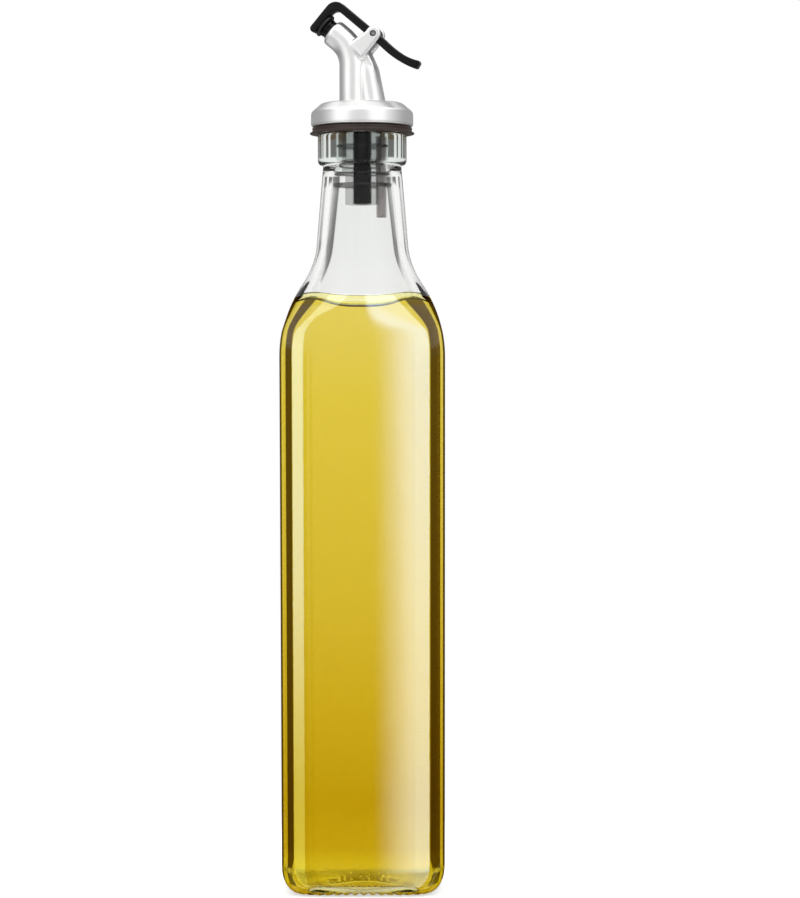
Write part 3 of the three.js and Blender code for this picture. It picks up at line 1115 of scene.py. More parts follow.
    def build(self) -> None:
        """Makes and dresses the glass, with a weaker mirror on the neck."""
        outside = self.outside()
        outline = np.vstack([outside, self.inside()[::-1]])
        grid = self.plan.wrapped(outline[:, :1], outline[:, 1:])
        piece = Skin().grid(self.knurled(grid, len(outside))).mesh("glass_bottle", 60.0)
        dress(piece, BODY_GLASS, Body.BOTTLE, "bottle")

        piece.data.materials.append(NECK_GLASS.material())
        centres = np.empty(len(piece.data.polygons) * 3)
        piece.data.polygons.foreach_get("center", centres)
        on_neck = centres[2::3] > self.neck_from * MM
        piece.data.polygons.foreach_set("material_index", on_neck.astype(np.int32))


@dataclass
class Oil:
    """The oil: it reaches into the wall, and a film of it climbs the glass above the level.

    The level is that of its middle. The film ends at the contact height, a little higher in the corners.
    """

    glass: Glass
    overlap: float = 0.35
    level: float = 201.7
    corner_rise: float = 2.0
    corner_reach: float = 5.0
    contact: float = 205.9
    corner_contact: float = 0.9
    film: float = 0.45
    bend_width: float = 1.3
    bend_height: float = 1.5
    edge: float = 0.3
    rim_lean: Pair = (0.12, 0.97)
    rim_below: float = 1.0

    def wall(self, height: np.ndarray, depth: float) -> np.ndarray:
        """Half width of the shoulder's inner wall.

        It is cx + sqrt(r^2 - (z - cz)^2), with r the radius of the hollow's shoulder plus depth.

        Args:
            height: heights z.
            depth: how far the wall is moved into the glass.

        Returns:
            Half widths.
        """
        glass = self.glass
        centre = glass.shoulder_half - glass.shoulder_radius
        radius = glass.shoulder_radius - glass.wall + depth
        return centre + np.sqrt(radius**2 - (height - glass.shoulder_start) ** 2)

    def skin(self) -> Skin:
        """Makes the oil's skin.

        Below the shoulder it follows the hollow. From the level up, its inner face keeps a film's distance
        from the wall. A quarter of an ellipse joins film and surface, which stands higher in the corners by
        rise exp(-d / reach), with d the distance from the film.

        Returns:
            The skin.
        """
        glass = self.glass
        corner = (0.5 - 0.5 * np.cos(4 * glass.plan.angles()[None, :])) ** 2
        contact = self.contact + self.corner_contact * corner
        level = self.level + self.corner_rise * corner
        start = glass.shoulder_start

        sides = glass.sides(self.overlap)
        top = (glass.shoulder_half - glass.wall + self.overlap, start)
        sides = np.vstack([sides, line(tuple(sides[-1]), top, 12)[1:-1]])
        outer = start + np.linspace(0.0, 1.0, 60)[:, None] * (contact - start)
        turn = np.linspace(0.0, math.pi / 2, 5)[:, None]
        edge = contact - self.edge * (1 - np.cos(turn))
        edge_depth = self.overlap - (self.overlap + self.film) * np.sin(turn)
        drop = level + self.bend_height - contact + self.edge
        inner = contact - self.edge + np.linspace(0.0, 1.0, 10)[1:, None] * drop
        bend = np.linspace(0.0, math.pi / 2, 9)[1:, None]
        bent = level + self.bend_height * (1 - np.sin(bend))
        bent_depth = self.film + self.bend_width * (1 - np.cos(bend))
        foot = self.wall(level, 0.0) - self.film - self.bend_width
        inwards = np.linspace(0.0, 1.0, 24)[1:, None] ** 1.6
        surface = self.level + (level - self.level) * np.exp(-inwards * foot / self.corner_reach)

        shape = (len(sides), glass.plan.columns)
        half = [
            np.broadcast_to(sides[:, :1], shape),
            self.wall(outer, self.overlap),
            self.wall(edge, 0.0) + edge_depth,
            self.wall(inner, 0.0) - self.film,
            self.wall(bent, 0.0) - bent_depth,
            foot * (1 - inwards),
        ]
        height = [np.broadcast_to(sides[:, 1:], shape), outer, edge, inner, bent, surface]
        return Skin().grid(glass.plan.wrapped(np.vstack(half), np.vstack(height)))

    def build(self) -> None:
        """Makes and dresses the oil, with painted shade where its surface bends up to the film."""
        piece = self.skin().mesh("oil_fill", 50.0)
        dress(piece, OIL, Body.BOTTLE, "oil")

        # The faces picked below get the rim's painted shade.
        piece.data.materials.append(OIL_RIM_SHADE.material())
        centres, normals = np.empty((2, len(piece.data.polygons) * 3))
        piece.data.polygons.foreach_get("center", centres)
        piece.data.polygons.foreach_get("normal", normals)
        inwards = normals[0::3] * centres[0::3] + normals[1::3] * centres[1::3] < 0.0
        leaning = (normals[2::3] > self.rim_lean[0]) & (normals[2::3] < self.rim_lean[1])
        high = centres[2::3] > (self.level - self.rim_below) * MM
        piece.data.polygons.foreach_set("material_index", (inwards & leaning & high).astype(np.int32))


@dataclass
class Bubbles:
    """Small bubbles that cling inside the front of the glass, most of them near the foot.

    A region is (x from, x to, y from, y to, z from, height), and crowding above 1 draws bubbles to its foot.
    """

    near_foot: int = 80
    above: int = 36
    foot_region: tuple[float, ...] = (-19, 22, -23.6, -21.5, 6.4, 9)
    upper_region: tuple[float, ...] = (-17, 12, -24.4, -21.0, 20, 125)
    foot_crowding: float = 1.5
    upper_crowding: float = 1.6
    radii: Pair = (0.15, 0.36)
    seed: int = 7
    rings: int = 8
    segments: int = 12

    def build(self) -> None:
        """Makes and dresses the bubbles.

        Each is a sphere: centre + r (cos b cos a, cos b sin a, sin b), with a all round and b from pole to
        pole.
        """
        rng = np.random.default_rng(self.seed)
        groups = [
            (self.near_foot, self.foot_region, self.foot_crowding),
            (self.above, self.upper_region, self.upper_crowding),
        ]
        centres = []
        for count, (left, right, front, back, low, height), crowding in groups:
            across, along = rng.uniform(left, right, count), rng.uniform(front, back, count)
            centres.append(np.column_stack([across, along, low + height * rng.random(count) ** crowding]))
        centres = np.vstack(centres)
        radii = rng.uniform(*self.radii, len(centres))
        tilt = np.linspace(-math.pi / 2, math.pi / 2, self.rings + 1)[:, None]
        turn = np.linspace(0.0, 2 * math.pi, self.segments, endpoint=False)[None, :]
        ring = np.cos(tilt)
        ball = np.stack([ring * np.cos(turn), ring * np.sin(turn), np.sin(tilt) + 0 * turn], axis=-1)
        skin = Skin()
        for centre, radius in zip(centres, radii):
            skin.grid(centre + radius * ball)
        piece = skin.mesh("oil_bubbles", 180.0)
        piece.data.flip_normals()
        dress(piece, AirInOil(), Body.BOTTLE)


# Stopper and gasket


@dataclass
class Stack:
    """What hangs in the neck: stopper with fins, core tube, valve bulb and air tube.

    A fin is (height, radius).
    """

    fins: tuple[Pair, ...] = ((245.7, 10.4), (249.5, 9.9), (254.4, 9.0), (259.2, 9.0))
    fin_half: float = 0.35
    fin_root: float = 0.35
    tip_radius: float = 6.0
    tip_chamfer: float = 0.3
    plug_radius: float = 7.2
    waist: float = 250.4
    bottom: float = 239.0
    top: float = 265.9
    core_radius: float = 3.05
    core_bore: float = 2.6
    core_bottom: float = 239.2
    valve_radius: float = 2.25
    valve_half: float = 3.5
    valve_z: float = 245.5
    valve_swell: float = 0.05
    air_radius: float = 1.75
    air_bore: float = 1.15
    air_bottom: float = 234.4
    air_top: float = 262.0
    air_x: float = 6.77
    clearance: float = 0.3

    def stopper_outline(self) -> np.ndarray:
        """Outline of the plug, with a rounded fin at each sealing height."""
        bore = self.core_radius + self.clearance
        tip, chamfer = self.tip_radius, self.tip_chamfer
        rows = [np.array([[bore, self.bottom], [tip - chamfer, self.bottom], [tip, self.bottom + chamfer]])]
        stepped = False
        for z, radius in self.fins:
            body = tip if z < self.waist else self.plug_radius
            if z > self.waist and not stepped:
                rows.append(np.array([[tip, self.waist], [self.plug_radius, self.waist + self.fin_root]]))
                stepped = True
            rim = arc((radius - self.fin_half, z), (self.fin_half, self.fin_half), -90.0, 90.0, 6)
            root = self.fin_half + self.fin_root
            rows.append(np.vstack([[[body, z - root]], rim, [[body, z + root]]]))
        rows.append(np.array([[self.plug_radius, self.top], [bore, self.top], [bore, self.bottom]]))
        return np.vstack(rows)

    def tube_outline(self, radius: float, bore: float, bottom: float, top: float) -> np.ndarray:
        """Outline of an open tube with a rounded lower rim.

        Args:
            radius: outer radius.
            bore: inner radius.
            bottom: height of the lower end.
            top: height of the upper end.

        Returns:
            Radius and height, one point a row.
        """
        half = (radius - bore) / 2
        rim = arc((bore + half, bottom + half), (half, half), -180.0, 0.0, 8)
        return np.vstack([rim, [[radius, top], [bore, top]], rim[:1]])

    def beside(self, points: np.ndarray) -> np.ndarray:
        """Carries points from the axis to the air tube's place."""
        return Pourer.turned(points + (self.air_x, 0.0, 0.0))

    def stopper(self) -> bpy.types.Object:
        """Makes the plug, notched for the air tube."""
        plug = Skin(Pourer.turned).lathe(self.stopper_outline(), 96).mesh("stopper_plug", 35.0)
        reach = self.air_radius + self.clearance
        notch = rod(self.bottom - 1.0, self.air_top + self.clearance, reach)
        return cut(plug, Skin(self.beside).lathe(notch, 40).mesh("notch"))

    def build(self) -> None:
        """Makes and dresses the pieces in the neck."""
        dress(self.stopper(), PLUG, Body.BOTTLE, "stopper")

        core = self.tube_outline(self.core_radius, self.core_bore, self.core_bottom, self.top)
        dress(Skin().lathe(core, 64).mesh("core_tube"), SMOKED, Body.BOTTLE, "pour_core")

        valve = arc((0.0, self.valve_z), (self.valve_radius, self.valve_half), -90.0, 90.0, 28)
        along = (valve[:, 1] - self.valve_z) / self.valve_half
        valve[:, 0] *= 1 + self.valve_swell * np.cos(3 * np.pi * along)
        dress(Skin().lathe(valve, 48).mesh("valve_bulb"), RUBBER, Body.BOTTLE, "valve_plug")

        air = self.tube_outline(self.air_radius, self.air_bore, self.air_bottom, self.air_top)
        dress(Skin(self.beside).lathe(air, 48).mesh("air_pipe"), AIRWAY, Body.BOTTLE, "air_tube")


@dataclass
class Gasket:
    """Rubber ring under the cap, flared to a thin lip.

    The flare bends and ends at these heights above the bottom, and the bead is (height of its rib, its
    place above the bottom).
    """

    inner: float = 7.6
    bottom: float = 263.6
    top: float = 265.9
    lip: float = 18.3
    lip_edge: float = 0.25
    waist: float = 17.4
    flare: Pair = (0.7, 1.4)
    bead: Pair = (0.12, 1.75)

    def build(self) -> None:
        """Makes and dresses the gasket."""
        inner, low, top, lip, waist = self.inner, self.bottom, self.top, self.lip, self.waist
        edge, (bend, end), (rib, middle) = self.lip_edge, self.flare, self.bead
        outline = np.vstack(
            [
                [[inner, low], [lip - 1.6, low]],
                arc((lip - edge, low + edge), (edge, edge), -90.0, 60.0, 6),
                bow((lip - 0.12, low + 2 * edge), (waist, low + bend), (waist, low + end), 6),
                [[waist + rib, low + middle], [waist, top - 0.1], [waist - 0.2, top]],
                [[inner, top], [inner, low]],
            ]
        )
        dress(Skin().lathe(outline, 128).mesh("seal_ring", 35.0), BROWN, Body.BOTTLE, "gasket")


# Pourer and lever


@dataclass
class Pourer:
    """Silver moulding: cap, bent pouring tube, leaning brace, web and ears, with its liner and pin.

    The frame at the pin has u along the nozzle, v up and square to it, and w across the ears. The brace's
    foot is (x, radius), its top and end are (x, z, radius), and the web's corners are (x, z). The web meets
    the nozzle at (u, depth in the tube), and the ears' feet are (u, v). The liner's groove is given by
    distances from its end, and the dish of the pin's heads by (share of the radius, depth).
    """

    TURN = math.radians(-11.0)
    RISE = math.radians(40.3)
    PIN = (4.82, 298.4)

    cap_radius: float = 17.9
    cap_rim: float = 0.5
    cap_bottom: float = 266.2
    cap_shoulder: float = 271.2
    cap_top: float = 274.5
    cap_top_radius: float = 14.0
    nozzle_v: float = -8.9
    mouth: float = 12.9
    mouth_rim: float = 1.0
    nozzle_radius: float = 4.85
    bend: float = 5.8
    riser_x: float = -3.16
    root_z: float = 272.0
    brace_foot: Pair = (4.15, 4.7)
    brace_top: tuple[float, float, float] = (2.0, 285.6, 4.1)
    brace_end: tuple[float, float, float] = (0.6, 292.5, 2.6)
    web_half: float = 3.2
    web_back: Pair = (4.9, 287.4)
    web_crest: Pair = (2.75, 291.8)
    web_meets: Pair = (4.5, 0.8)
    web_drop: float = 4.0
    edge: float = 0.3
    ear_radius: float = 2.7
    ear_sweep: Pair = (-21.6, 178.2)
    ear_feet: tuple[Pair, Pair] = ((-2.8, -9.5), (4.4, -7.9))
    ear_inner: float = 2.9
    ear_outer: float = 4.88
    tip_radius: float = 3.42
    tip_root: float = 5.4
    tip_end: float = 15.1
    tip_bore: float = 2.2
    bore_end: float = 8.0
    tip_edge: float = 0.3
    groove: Edges = (1.5, 1.35, 1.0, 0.85)
    groove_depth: float = 0.3
    clearance: float = 0.3
    pin_radius: float = 0.8
    pin_hole: float = 1.15
    pin_half: float = 4.55
    pin_edge: float = 0.2
    pin_dish: tuple[Pair, Pair] = ((0.0, 0.35), (0.45, 0.3))
    voxel: float = 0.3
    rounds: int = 22

    @classmethod
    def turned(cls, points: np.ndarray) -> np.ndarray:
        """Turns points about the bottle's axis to where the pourer faces."""
        c, s = math.cos(cls.TURN), math.sin(cls.TURN)
        x, y = points[..., 0], points[..., 1]
        return np.stack([c * x - s * y, s * x + c * y, points[..., 2]], axis=-1)

    @classmethod
    def from_pin(cls, points: np.ndarray) -> np.ndarray:
        """Carries (u, v, w) points to the pourer's place, turned as it is."""
        c, s = math.cos(cls.RISE), math.sin(cls.RISE)
        u, v, w = points[..., 0], points[..., 1], points[..., 2]
        return cls.turned(np.stack([cls.PIN[0] - c * u + s * v, w, cls.PIN[1] + s * u + c * v], axis=-1))

    @classmethod
    def upright(cls, points: np.ndarray) -> np.ndarray:
        """Carries (x, z, w) points to the pourer's upright plane, turned as it is."""
        return cls.turned(np.stack([points[..., 0], -points[..., 2], points[..., 1]], axis=-1))

    def along_nozzle(self, points: np.ndarray) -> np.ndarray:
        """Carries points from about +Z to about the nozzle's axis, with z as u."""
        v = points[..., 0] + self.nozzle_v
        return self.from_pin(np.stack([points[..., 2], v, points[..., 1]], axis=-1))

    @classmethod
    def plane_point(cls, u: float, v: float) -> np.ndarray:
        """(x, z) in the pourer's upright plane of a point at u and v."""
        c, s = math.cos(cls.RISE), math.sin(cls.RISE)
        return np.array([cls.PIN[0] - c * u + s * v, cls.PIN[1] + s * u + c * v])

    def tube_path(self) -> tuple[np.ndarray, np.ndarray]:
        """Path and radii of the pouring tube, with a rounded rim at the mouth."""
        mouth = self.plane_point(self.mouth, self.nozzle_v)
        outward = self.plane_point(1.0, 0.0) - self.plane_point(0.0, 0.0)
        corner = mouth + outward * (self.riser_x - mouth[0]) / outward[0]
        riser_top = corner - (0.0, self.bend)
        bend_end = corner + outward * self.bend
        rim = self.mouth_rim
        angle = np.radians(np.linspace(0.0, 90.0, 7))
        ends = mouth - outward * rim + outward * (rim * np.sin(angle))[:, None]
        path = np.vstack(
            [
                line((corner[0], self.root_z - CLOSING), (corner[0], self.root_z), 1),
                line((corner[0], self.root_z), tuple(riser_top), 8)[1:],
                bow(riser_top, corner, bend_end, 18)[1:],
                line(tuple(bend_end), tuple(mouth - outward * rim), 6)[1:],
                ends[1:],
                [mouth + outward * (CLOSING / 10)],
            ]
        )
        radii = np.full(len(path), self.nozzle_radius)
        radii[-8:-1] = self.nozzle_radius - rim * (1 - np.cos(angle))
        radii[[0, -1]] = 0.0
        return path, radii

    def brace_path(self) -> tuple[np.ndarray, np.ndarray]:
        """Path and radii of the brace that leans from the cap to the ears."""
        foot_x, foot_radius = self.brace_foot
        top_x, top_z, top_radius = self.brace_top
        end_x, end_z, end_radius = self.brace_end
        path = np.vstack(
            [
                [[foot_x, self.root_z - CLOSING]],
                line((foot_x, self.root_z), (top_x, top_z), 6),
                line((top_x, top_z), (end_x, end_z), 4)[1:],
                [[end_x - CLOSING, end_z + CLOSING]],
            ]
        )
        lower = np.linspace(foot_radius, top_radius, 7)
        upper = np.linspace(top_radius, end_radius, 5)[1:]
        return path, np.concatenate([[0.0], lower, upper, [0.0]])

    def web_outline(self) -> np.ndarray:
        """Outline of the web between tube and brace."""
        along, depth = self.web_meets
        on_nozzle = self.plane_point(along, self.nozzle_v + self.nozzle_radius - depth)
        corners = [
            [self.riser_x, self.root_z],
            [self.brace_foot[0], self.root_z],
            self.web_back,
            self.web_crest,
            on_nozzle,
            [self.riser_x, on_nozzle[1] - self.web_drop],
        ]
        return evened(np.array(corners), 0.4, 0.3)

    def cap_outline(self) -> np.ndarray:
        """Outline of the cap: a short skirt, a bevel and a flat top."""
        radius, low, bevel, top = self.cap_radius, self.cap_bottom, self.cap_shoulder, self.cap_top
        rim, inner = self.cap_rim, self.cap_top_radius
        return np.vstack(
            [
                [[0.0, low], [radius - rim, low]],
                arc((radius - rim, low + rim), (rim, rim), -90.0, 0.0, 4),
                bow((radius, bevel - 0.7), (radius, bevel), (radius - 0.6, bevel + 0.5), 6),
                bow((inner + 0.5, top - 0.42), (inner, top), (inner - 0.8, top), 6),
                [[0.0, top]],
            ]
        )

    def ear_outline(self) -> np.ndarray:
        """Side view of an ear: round about the pin, spreading to the nozzle."""
        head = arc((0.0, 0.0), (self.ear_radius, self.ear_radius), *self.ear_sweep, 26)
        return evened(np.vstack([self.ear_feet, head]), 0.3, 0.5)

    def head(self) -> bpy.types.Object:
        """Fuses the silver moulding and cuts the liner's socket and the pin's holes."""
        skin = Skin(self.turned).lathe(self.cap_outline(), 160)
        skin.tube(*self.tube_path(), 72)
        skin.tube(*self.brace_path(), 64)
        skin.carry = self.upright
        skin.slab(self.web_outline(), -self.web_half, self.web_half, self.edge)
        skin.carry = self.from_pin
        skin.slab(self.ear_outline(), self.ear_inner, self.ear_outer, self.edge)
        skin.slab(self.ear_outline(), -self.ear_outer, -self.ear_inner, self.edge)
        piece = fused(skin.mesh("pourer_body"), self.voxel, self.rounds)
        piece.data.shade_smooth()
        socket = rod(self.tip_root - self.clearance, self.mouth + 1, self.tip_radius + self.clearance)
        socket = Skin(self.along_nozzle).lathe(socket, 72).mesh("socket")
        hole = Skin(self.from_pin).lathe(rod(-7.0, 7.0, self.pin_hole), 48).mesh("hole")
        return cut(piece, socket, hole)

    def liner(self) -> Skin:
        """Black liner of the nozzle: a sleeve with a shallow groove and a blind bore."""
        radius, end, edge = self.tip_radius, self.tip_end, self.tip_edge
        groove = radius - self.groove_depth
        first, second, third, last = (end - distance for distance in self.groove)
        outline = np.vstack(
            [
                [[0.0, self.tip_root], [radius, self.tip_root]],
                [[radius, first], [groove, second], [groove, third], [radius, last]],
                arc((radius - edge, end - edge), (edge, edge), 0.0, 90.0, 5),
                arc((self.tip_bore + edge, end - edge), (edge, edge), 90.0, 180.0, 5),
                [[self.tip_bore, self.bore_end], [0.0, self.bore_end]],
            ]
        )
        return Skin(self.along_nozzle).lathe(outline, 72)

    def pin(self) -> Skin:
        """Steel pin with a dished, rounded head at each end."""
        half, radius, edge = self.pin_half, self.pin_radius, self.pin_edge
        dish = [[radius * share, half - depth] for share, depth in self.pin_dish]
        end = np.vstack([dish, arc((radius - edge, half - edge), (edge, edge), 90.0, 0.0, 4)])
        return Skin(self.from_pin).lathe(np.vstack([end, end[::-1] * (1.0, -1.0)]), 48)

    def build(self) -> None:
        """Makes and dresses the moulding, liner and pin."""
        dress(self.head(), SILVER, Body.BOTTLE, "pourer_head")
        dress(self.liner().mesh("nozzle_liner", 35.0), BLACK, Body.BOTTLE, "nozzle_tip")
        dress(self.pin().mesh("lever_pin", 35.0), STEEL, Body.BOTTLE, "hinge_pin")


@dataclass
class Lever:
    """Black flip lever: arm over the nozzle, round bend, bar through the ears, curved tail, and its pad."""

    pourer: Pourer
    half_width: float = 2.6
    edge: float = 0.55
    top: float = 0.9
    bottom: float = -1.85
    boss: float = 2.3
    arm_inner: float = 16.65
    arm_outer: float = 19.5
    arm_end: float = -13.4
    outer_bend: float = 3.9
    inner_bend: float = 2.4
    tail_start: float = -4.0
    tail_bow: float = -12.5
    tail_dip: float = 0.75
    tail_end: float = -19.0
    tail_rise: float = 2.55
    tail_thickness: float = 2.6
    tail_lip: float = 0.35
    pad_radius: float = 4.35
    pad_from: float = 15.4
    pad_to: float = 16.35
    pad_edges: Pair = (0.3, 0.25)

    def outline(self) -> np.ndarray:
        """Side view of the lever, anticlockwise in u and v."""
        half = (self.arm_outer - self.arm_inner) / 2
        middle = (self.arm_outer + self.arm_inner) / 2
        foot = self.tail_rise - self.tail_thickness
        bend, inner = self.outer_bend, self.inner_bend
        boss_top = math.degrees(math.asin(self.top / self.boss))
        boss_low = math.degrees(math.asin(-self.bottom / self.boss))
        return np.vstack(
            [
                arc((middle, self.arm_end + half), (half, half), 180.0, 360.0, 14),
                arc((self.arm_outer - bend, self.top - bend), (bend, bend), 0.0, 90.0, 14),
                arc((0.0, 0.0), (self.boss, self.boss), boss_top, 180.0 - boss_top, 16),
                bow(
                    (self.tail_start, self.top),
                    (self.tail_bow, self.top - self.tail_dip),
                    (self.tail_end + 1.4, self.tail_rise),
                    18,
                ),
                [
                    [self.tail_end + 0.7, self.tail_rise + self.tail_lip],
                    [self.tail_end, self.tail_rise - 0.2],
                    [self.tail_end - 0.3, foot + 0.4],
                ],
                bow(
                    (self.tail_end + 0.1, foot),
                    (self.tail_bow, self.bottom - self.tail_dip),
                    (self.tail_start, self.bottom),
                    18,
                ),
                arc((0.0, 0.0), (self.boss, self.boss), 180.0 + boss_low, 360.0 - boss_low, 14),
                arc((self.arm_inner - inner, self.bottom - inner), (inner, inner), 90.0, 0.0, 10),
            ]
        )

    def build(self) -> None:
        """Makes and dresses the lever and its pad."""
        outline = evened(self.outline(), 0.18, 0.16)
        blade = Skin(Pourer.from_pin).slab(outline, -self.half_width, self.half_width, self.edge, 6)
        hole = Skin(Pourer.from_pin).lathe(rod(-4.0, 4.0, self.pourer.pin_hole), 48)
        piece = cut(blade.mesh("flip_lever", 30.0), hole.mesh("hole"))
        dress(piece, BLACK, Body.LEVER, "lever")

        radius, low, high = self.pad_radius, self.pad_from, self.pad_to
        lower, upper = self.pad_edges
        pad = np.vstack(
            [
                [[0.0, low]],
                arc((radius - lower, low + lower), (lower, lower), -90.0, 0.0, 4),
                arc((radius - upper, high - upper), (upper, upper), 0.0, 90.0, 4),
                [[0.0, high]],
            ]
        )
        skin = Skin(self.pourer.along_nozzle).lathe(pad, 72)
        dress(skin.mesh("lever_pad", 35.0), RUBBER, Body.LEVER, "lever_seal")


# Studio


@dataclass(frozen=True)
class SoftBox:
    """Colours of a soft box: below, level with the bottle and above, and the heights where they meet."""

    below: Colour
    level: Colour
    above: Colour
    meets_below: Pair
    meets_above: Pair = (0.6, 0.85)

    def light(self, shader: Shader, z: Value) -> Socket:
        """Colour of the box at height z of a direction of length 1."""
        lower = shader.blend(z.between(*self.meets_below), self.below, self.level)
        return shader.blend(z.between(*self.meets_above), lower, self.above)


@dataclass
class Surround:
    """Soft white light from all round, with dark gaps behind the bottle and soft boxes in front of it.

    Light that has gone through the glass meets white straight behind it, a dark gap at each side, white
    again and dark at the sides. Light that mirrors off the polished glass meets two large soft boxes at the
    front, left and right, and light from satin pieces meets wider and weaker ones. The picture's own
    background is plain white.

    Angles are degrees. Those of the gaps run from +Y towards +X and repeat every half turn; the others run
    from the camera's side towards +X. Heights are the z of a direction of length 1.
    """

    white: Colour = (1.14, 1.14, 1.14)
    left_gap: Edges = (-32.0, -30.5, -13.5, -12.0)
    right_gap: Edges = (13.2, 14.7, 24.5, 26.0)
    side_gaps: tuple[Pair, Pair] = ((40.0, 44.0), (-42.0, -46.0))
    gap_top: Pair = (0.16, 0.095)
    gap_brown: Colour = (0.15, 0.11, 0.06)
    gap_grey: Colour = (0.2, 0.2, 0.195)
    gap_turns_grey: Pair = (0.03, 0.06)

    left_box: Edges = (-68.0, -65.0, -21.3, -19.3)
    left_fade: Pair = (0.1, 0.4)
    left_loss: float = 0.25
    right_box_start: Pair = (0.0, 0.0715)
    right_box_end: Pair = (58.0, 52.0)
    left_light: SoftBox = SoftBox((3.7, 4.4, 0.95), (4.65, 6.75, 7.9), (4.2, 5.4, 5.4), (-0.115, -0.02))
    right_light: SoftBox = SoftBox((7.3, 9.0, 8.8), (4.6, 7.0, 12.4), (4.2, 5.4, 6.4), (-0.1, 0.035))
    dark: Colour = (0.05, 0.02, 0.0)
    box_bottom: Pair = (-0.99, -0.9)
    box_fade: Pair = (-0.2, -0.34)
    box_loss: float = 0.5

    satin_level: float = 0.8
    satin_left: Edges = (-76.0, -58.0, -34.0, -22.0)
    satin_right: Edges = (10.0, 22.0, 48.0, 64.0)
    satin_gain: float = 0.6
    satin_side: Pair = (60.0, 110.0)
    satin_side_loss: float = 0.55
    satin_low: Pair = (-0.3, 0.05)
    satin_low_share: float = 0.35
    satin_floor: Pair = (-0.45, -0.6)
    satin_floor_light: float = 0.7
    satin_above: Pair = (0.5, 0.8)

    def through(self, shader: Shader, x: Value, y: Value, z: Value) -> Socket:
        """Light that shows through the glass.

        Args:
            shader: the world's shader.
            x: part of the direction along +X.
            y: part along +Y.
            z: part along +Z.

        Returns:
            Its colour.
        """
        angle = shader.turn(x, y, 90.0)
        left_side, right_side = self.side_gaps
        gap = angle.band(self.left_gap) + angle.band(self.right_gap)
        gap = (gap + angle.between(*left_side) + angle.between(*right_side)) * z.between(*self.gap_top)
        tone = shader.blend(z.between(*self.gap_turns_grey), self.gap_brown, self.gap_grey)
        return shader.blend(gap, self.white, tone)

    def mirrored(self, shader: Shader, x: Value, front: Value, z: Value) -> Socket:
        """Light that mirrors off polished glass.

        Args:
            shader: the world's shader.
            x: part of the direction along +X.
            front: its angle from the camera's side.
            z: part along +Z.

        Returns:
            Its colour.
        """
        left = front.band(self.left_box) * (1.0 - self.left_loss * z.between(*self.left_fade))
        right = x.between(*self.right_box_start) * front.between(*self.right_box_end)
        height = z.between(*self.box_bottom) * (1.0 - self.box_loss * z.between(*self.box_fade))
        colour = shader.blend(left * height, self.dark, self.left_light.light(shader, z))
        return shader.blend(right * height, colour, self.right_light.light(shader, z))

    def satin(self, front: Value, z: Value) -> Value:
        """Strength of the light that satin pieces reflect.

        Args:
            front: the direction's angle from the camera's side.
            z: its part along +Z.

        Returns:
            The strength.
        """
        start, end = self.satin_side
        side = front.between(-start, -end) + front.between(start, end)
        boxes = front.band(self.satin_left) + front.band(self.satin_right)
        level = self.satin_level + self.satin_gain * boxes - self.satin_side_loss * side
        share = self.satin_low_share
        lit = level * (share + (1.0 - share) * z.between(*self.satin_low))
        floor = self.satin_floor_light * z.between(*self.satin_floor)
        return lit + floor + z.between(*self.satin_above)

    def build(self) -> None:
        """Makes the world."""
        world = bpy.data.worlds.new("surround")
        world.use_nodes = True
        bpy.context.scene.world = world
        shader = Shader(world.node_tree)
        x, y, z = shader.parts(shader.node("ShaderNodeTexCoord").outputs["Generated"])
        front = shader.turn(x, 0.0 - y, 180.0)

        path = shader.node("ShaderNodeLightPath")
        kinds = ("Is Singular Ray", "Is Reflection Ray", "Is Transmission Ray", "Is Glossy Ray")
        singular, reflected, passed, glossy = (Value(shader, path.outputs[name]) for name in kinds)
        mirror = singular * reflected
        rough = reflected * glossy * (1.0 - singular)
        plain = 1.0 - mirror - rough - passed

        light = shader.scaled((1.0, 1.0, 1.0), plain + rough * self.satin(front, z))
        for share, colour in (
            (mirror, self.mirrored(shader, x, front, z)),
            (passed, self.through(shader, x, y, z)),
        ):
            light = shader.combined("ADD", light, shader.scaled(colour, share))
        background = shader.node("ShaderNodeBackground", None, {"Color": light, "Strength": 1.0})
        shader.node("ShaderNodeOutputWorld", None, {"Surface": background.outputs[0]})


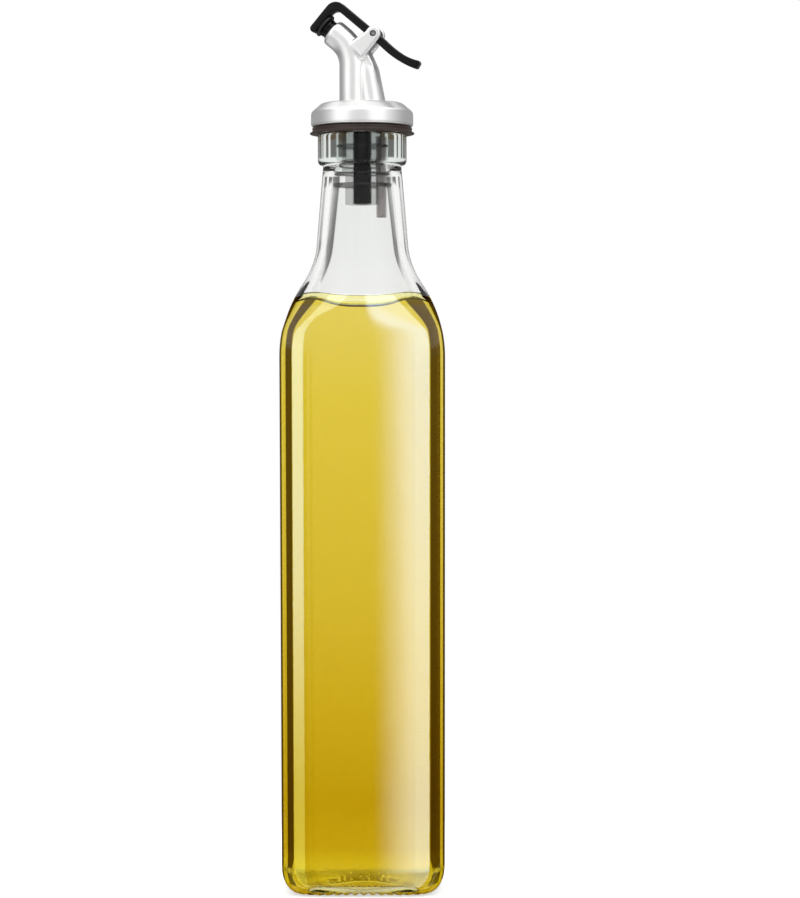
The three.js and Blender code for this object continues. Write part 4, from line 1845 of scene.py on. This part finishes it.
@dataclass
class Studio:
    """Camera at the photograph's place and a pale floor."""

    camera_place: tuple[float, float, float] = (12.99, -1250.0, 153.5)
    roll: float = 0.13
    scale: float = 0.35
    image_height: int = 898
    sensor: float = 36.0
    floor_radius: float = 260.0
    floor_drop: float = 0.02
    floor_glow: float = 0.5

    def camera(self) -> None:
        """Sets the camera at the photograph's place.

        The lens is the sensor's length times the distance, over the width that the picture's long side spans
        at the bottle's axis.
        """
        data = bpy.data.cameras.new("camera")
        data.sensor_width = self.sensor
        data.lens = self.sensor * -self.camera_place[1] / (self.scale * self.image_height)
        data.clip_start, data.clip_end = 0.05, 20.0
        camera = bpy.data.objects.new("camera", data)
        camera.location = tuple(c * MM for c in self.camera_place)
        camera.rotation_euler = (math.pi / 2, math.radians(self.roll), 0.0)
        bpy.context.scene.collection.objects.link(camera)
        bpy.context.scene.camera = camera

    def floor(self) -> None:
        """Lays a pale round floor that fades into the surround."""
        rings = np.linspace(0.0, self.floor_radius, 12)
        outline = np.column_stack([rings, np.full(12, -self.floor_drop)])
        floor = Skin().lathe(outline, 96).mesh("floor")
        made, shader = new_material("pale_floor")
        vector, _ = shader.place()
        edge = self.floor_radius * MM
        paleness = 0.9 + 0.08 * shader.noise(vector, 20.0)
        shader.surface(
            {
                "Base Color": shader.blend(paleness, (0.5, 0.5, 0.5), (1.0, 1.0, 1.0)),
                "Roughness": 0.7,
                "Alpha": shader.length(vector).between(edge, edge / 2),
                "Emission Color": (1.0, 1.0, 1.0),
                "Emission Strength": self.floor_glow,
            }
        )
        floor.data.materials.append(made)
        floor.visible_glossy = False
        floor.visible_transmission = False

    def build(self) -> None:
        """Sets up camera, floor and light."""
        bpy.context.scene.view_settings.view_transform = "Standard"
        self.camera()
        self.floor()
        Surround().build()


def main() -> None:
    """Builds the studio and every piece of the bottle."""
    logging.basicConfig(level=logging.INFO, format="%(message)s")
    Studio().build()
    glass = Glass(Plan())
    glass.build()
    Oil(glass).build()
    Bubbles().build()
    Stack().build()
    Gasket().build()
    pourer = Pourer()
    pourer.build()
    Lever(pourer).build()


if __name__ == "__main__":
    main()
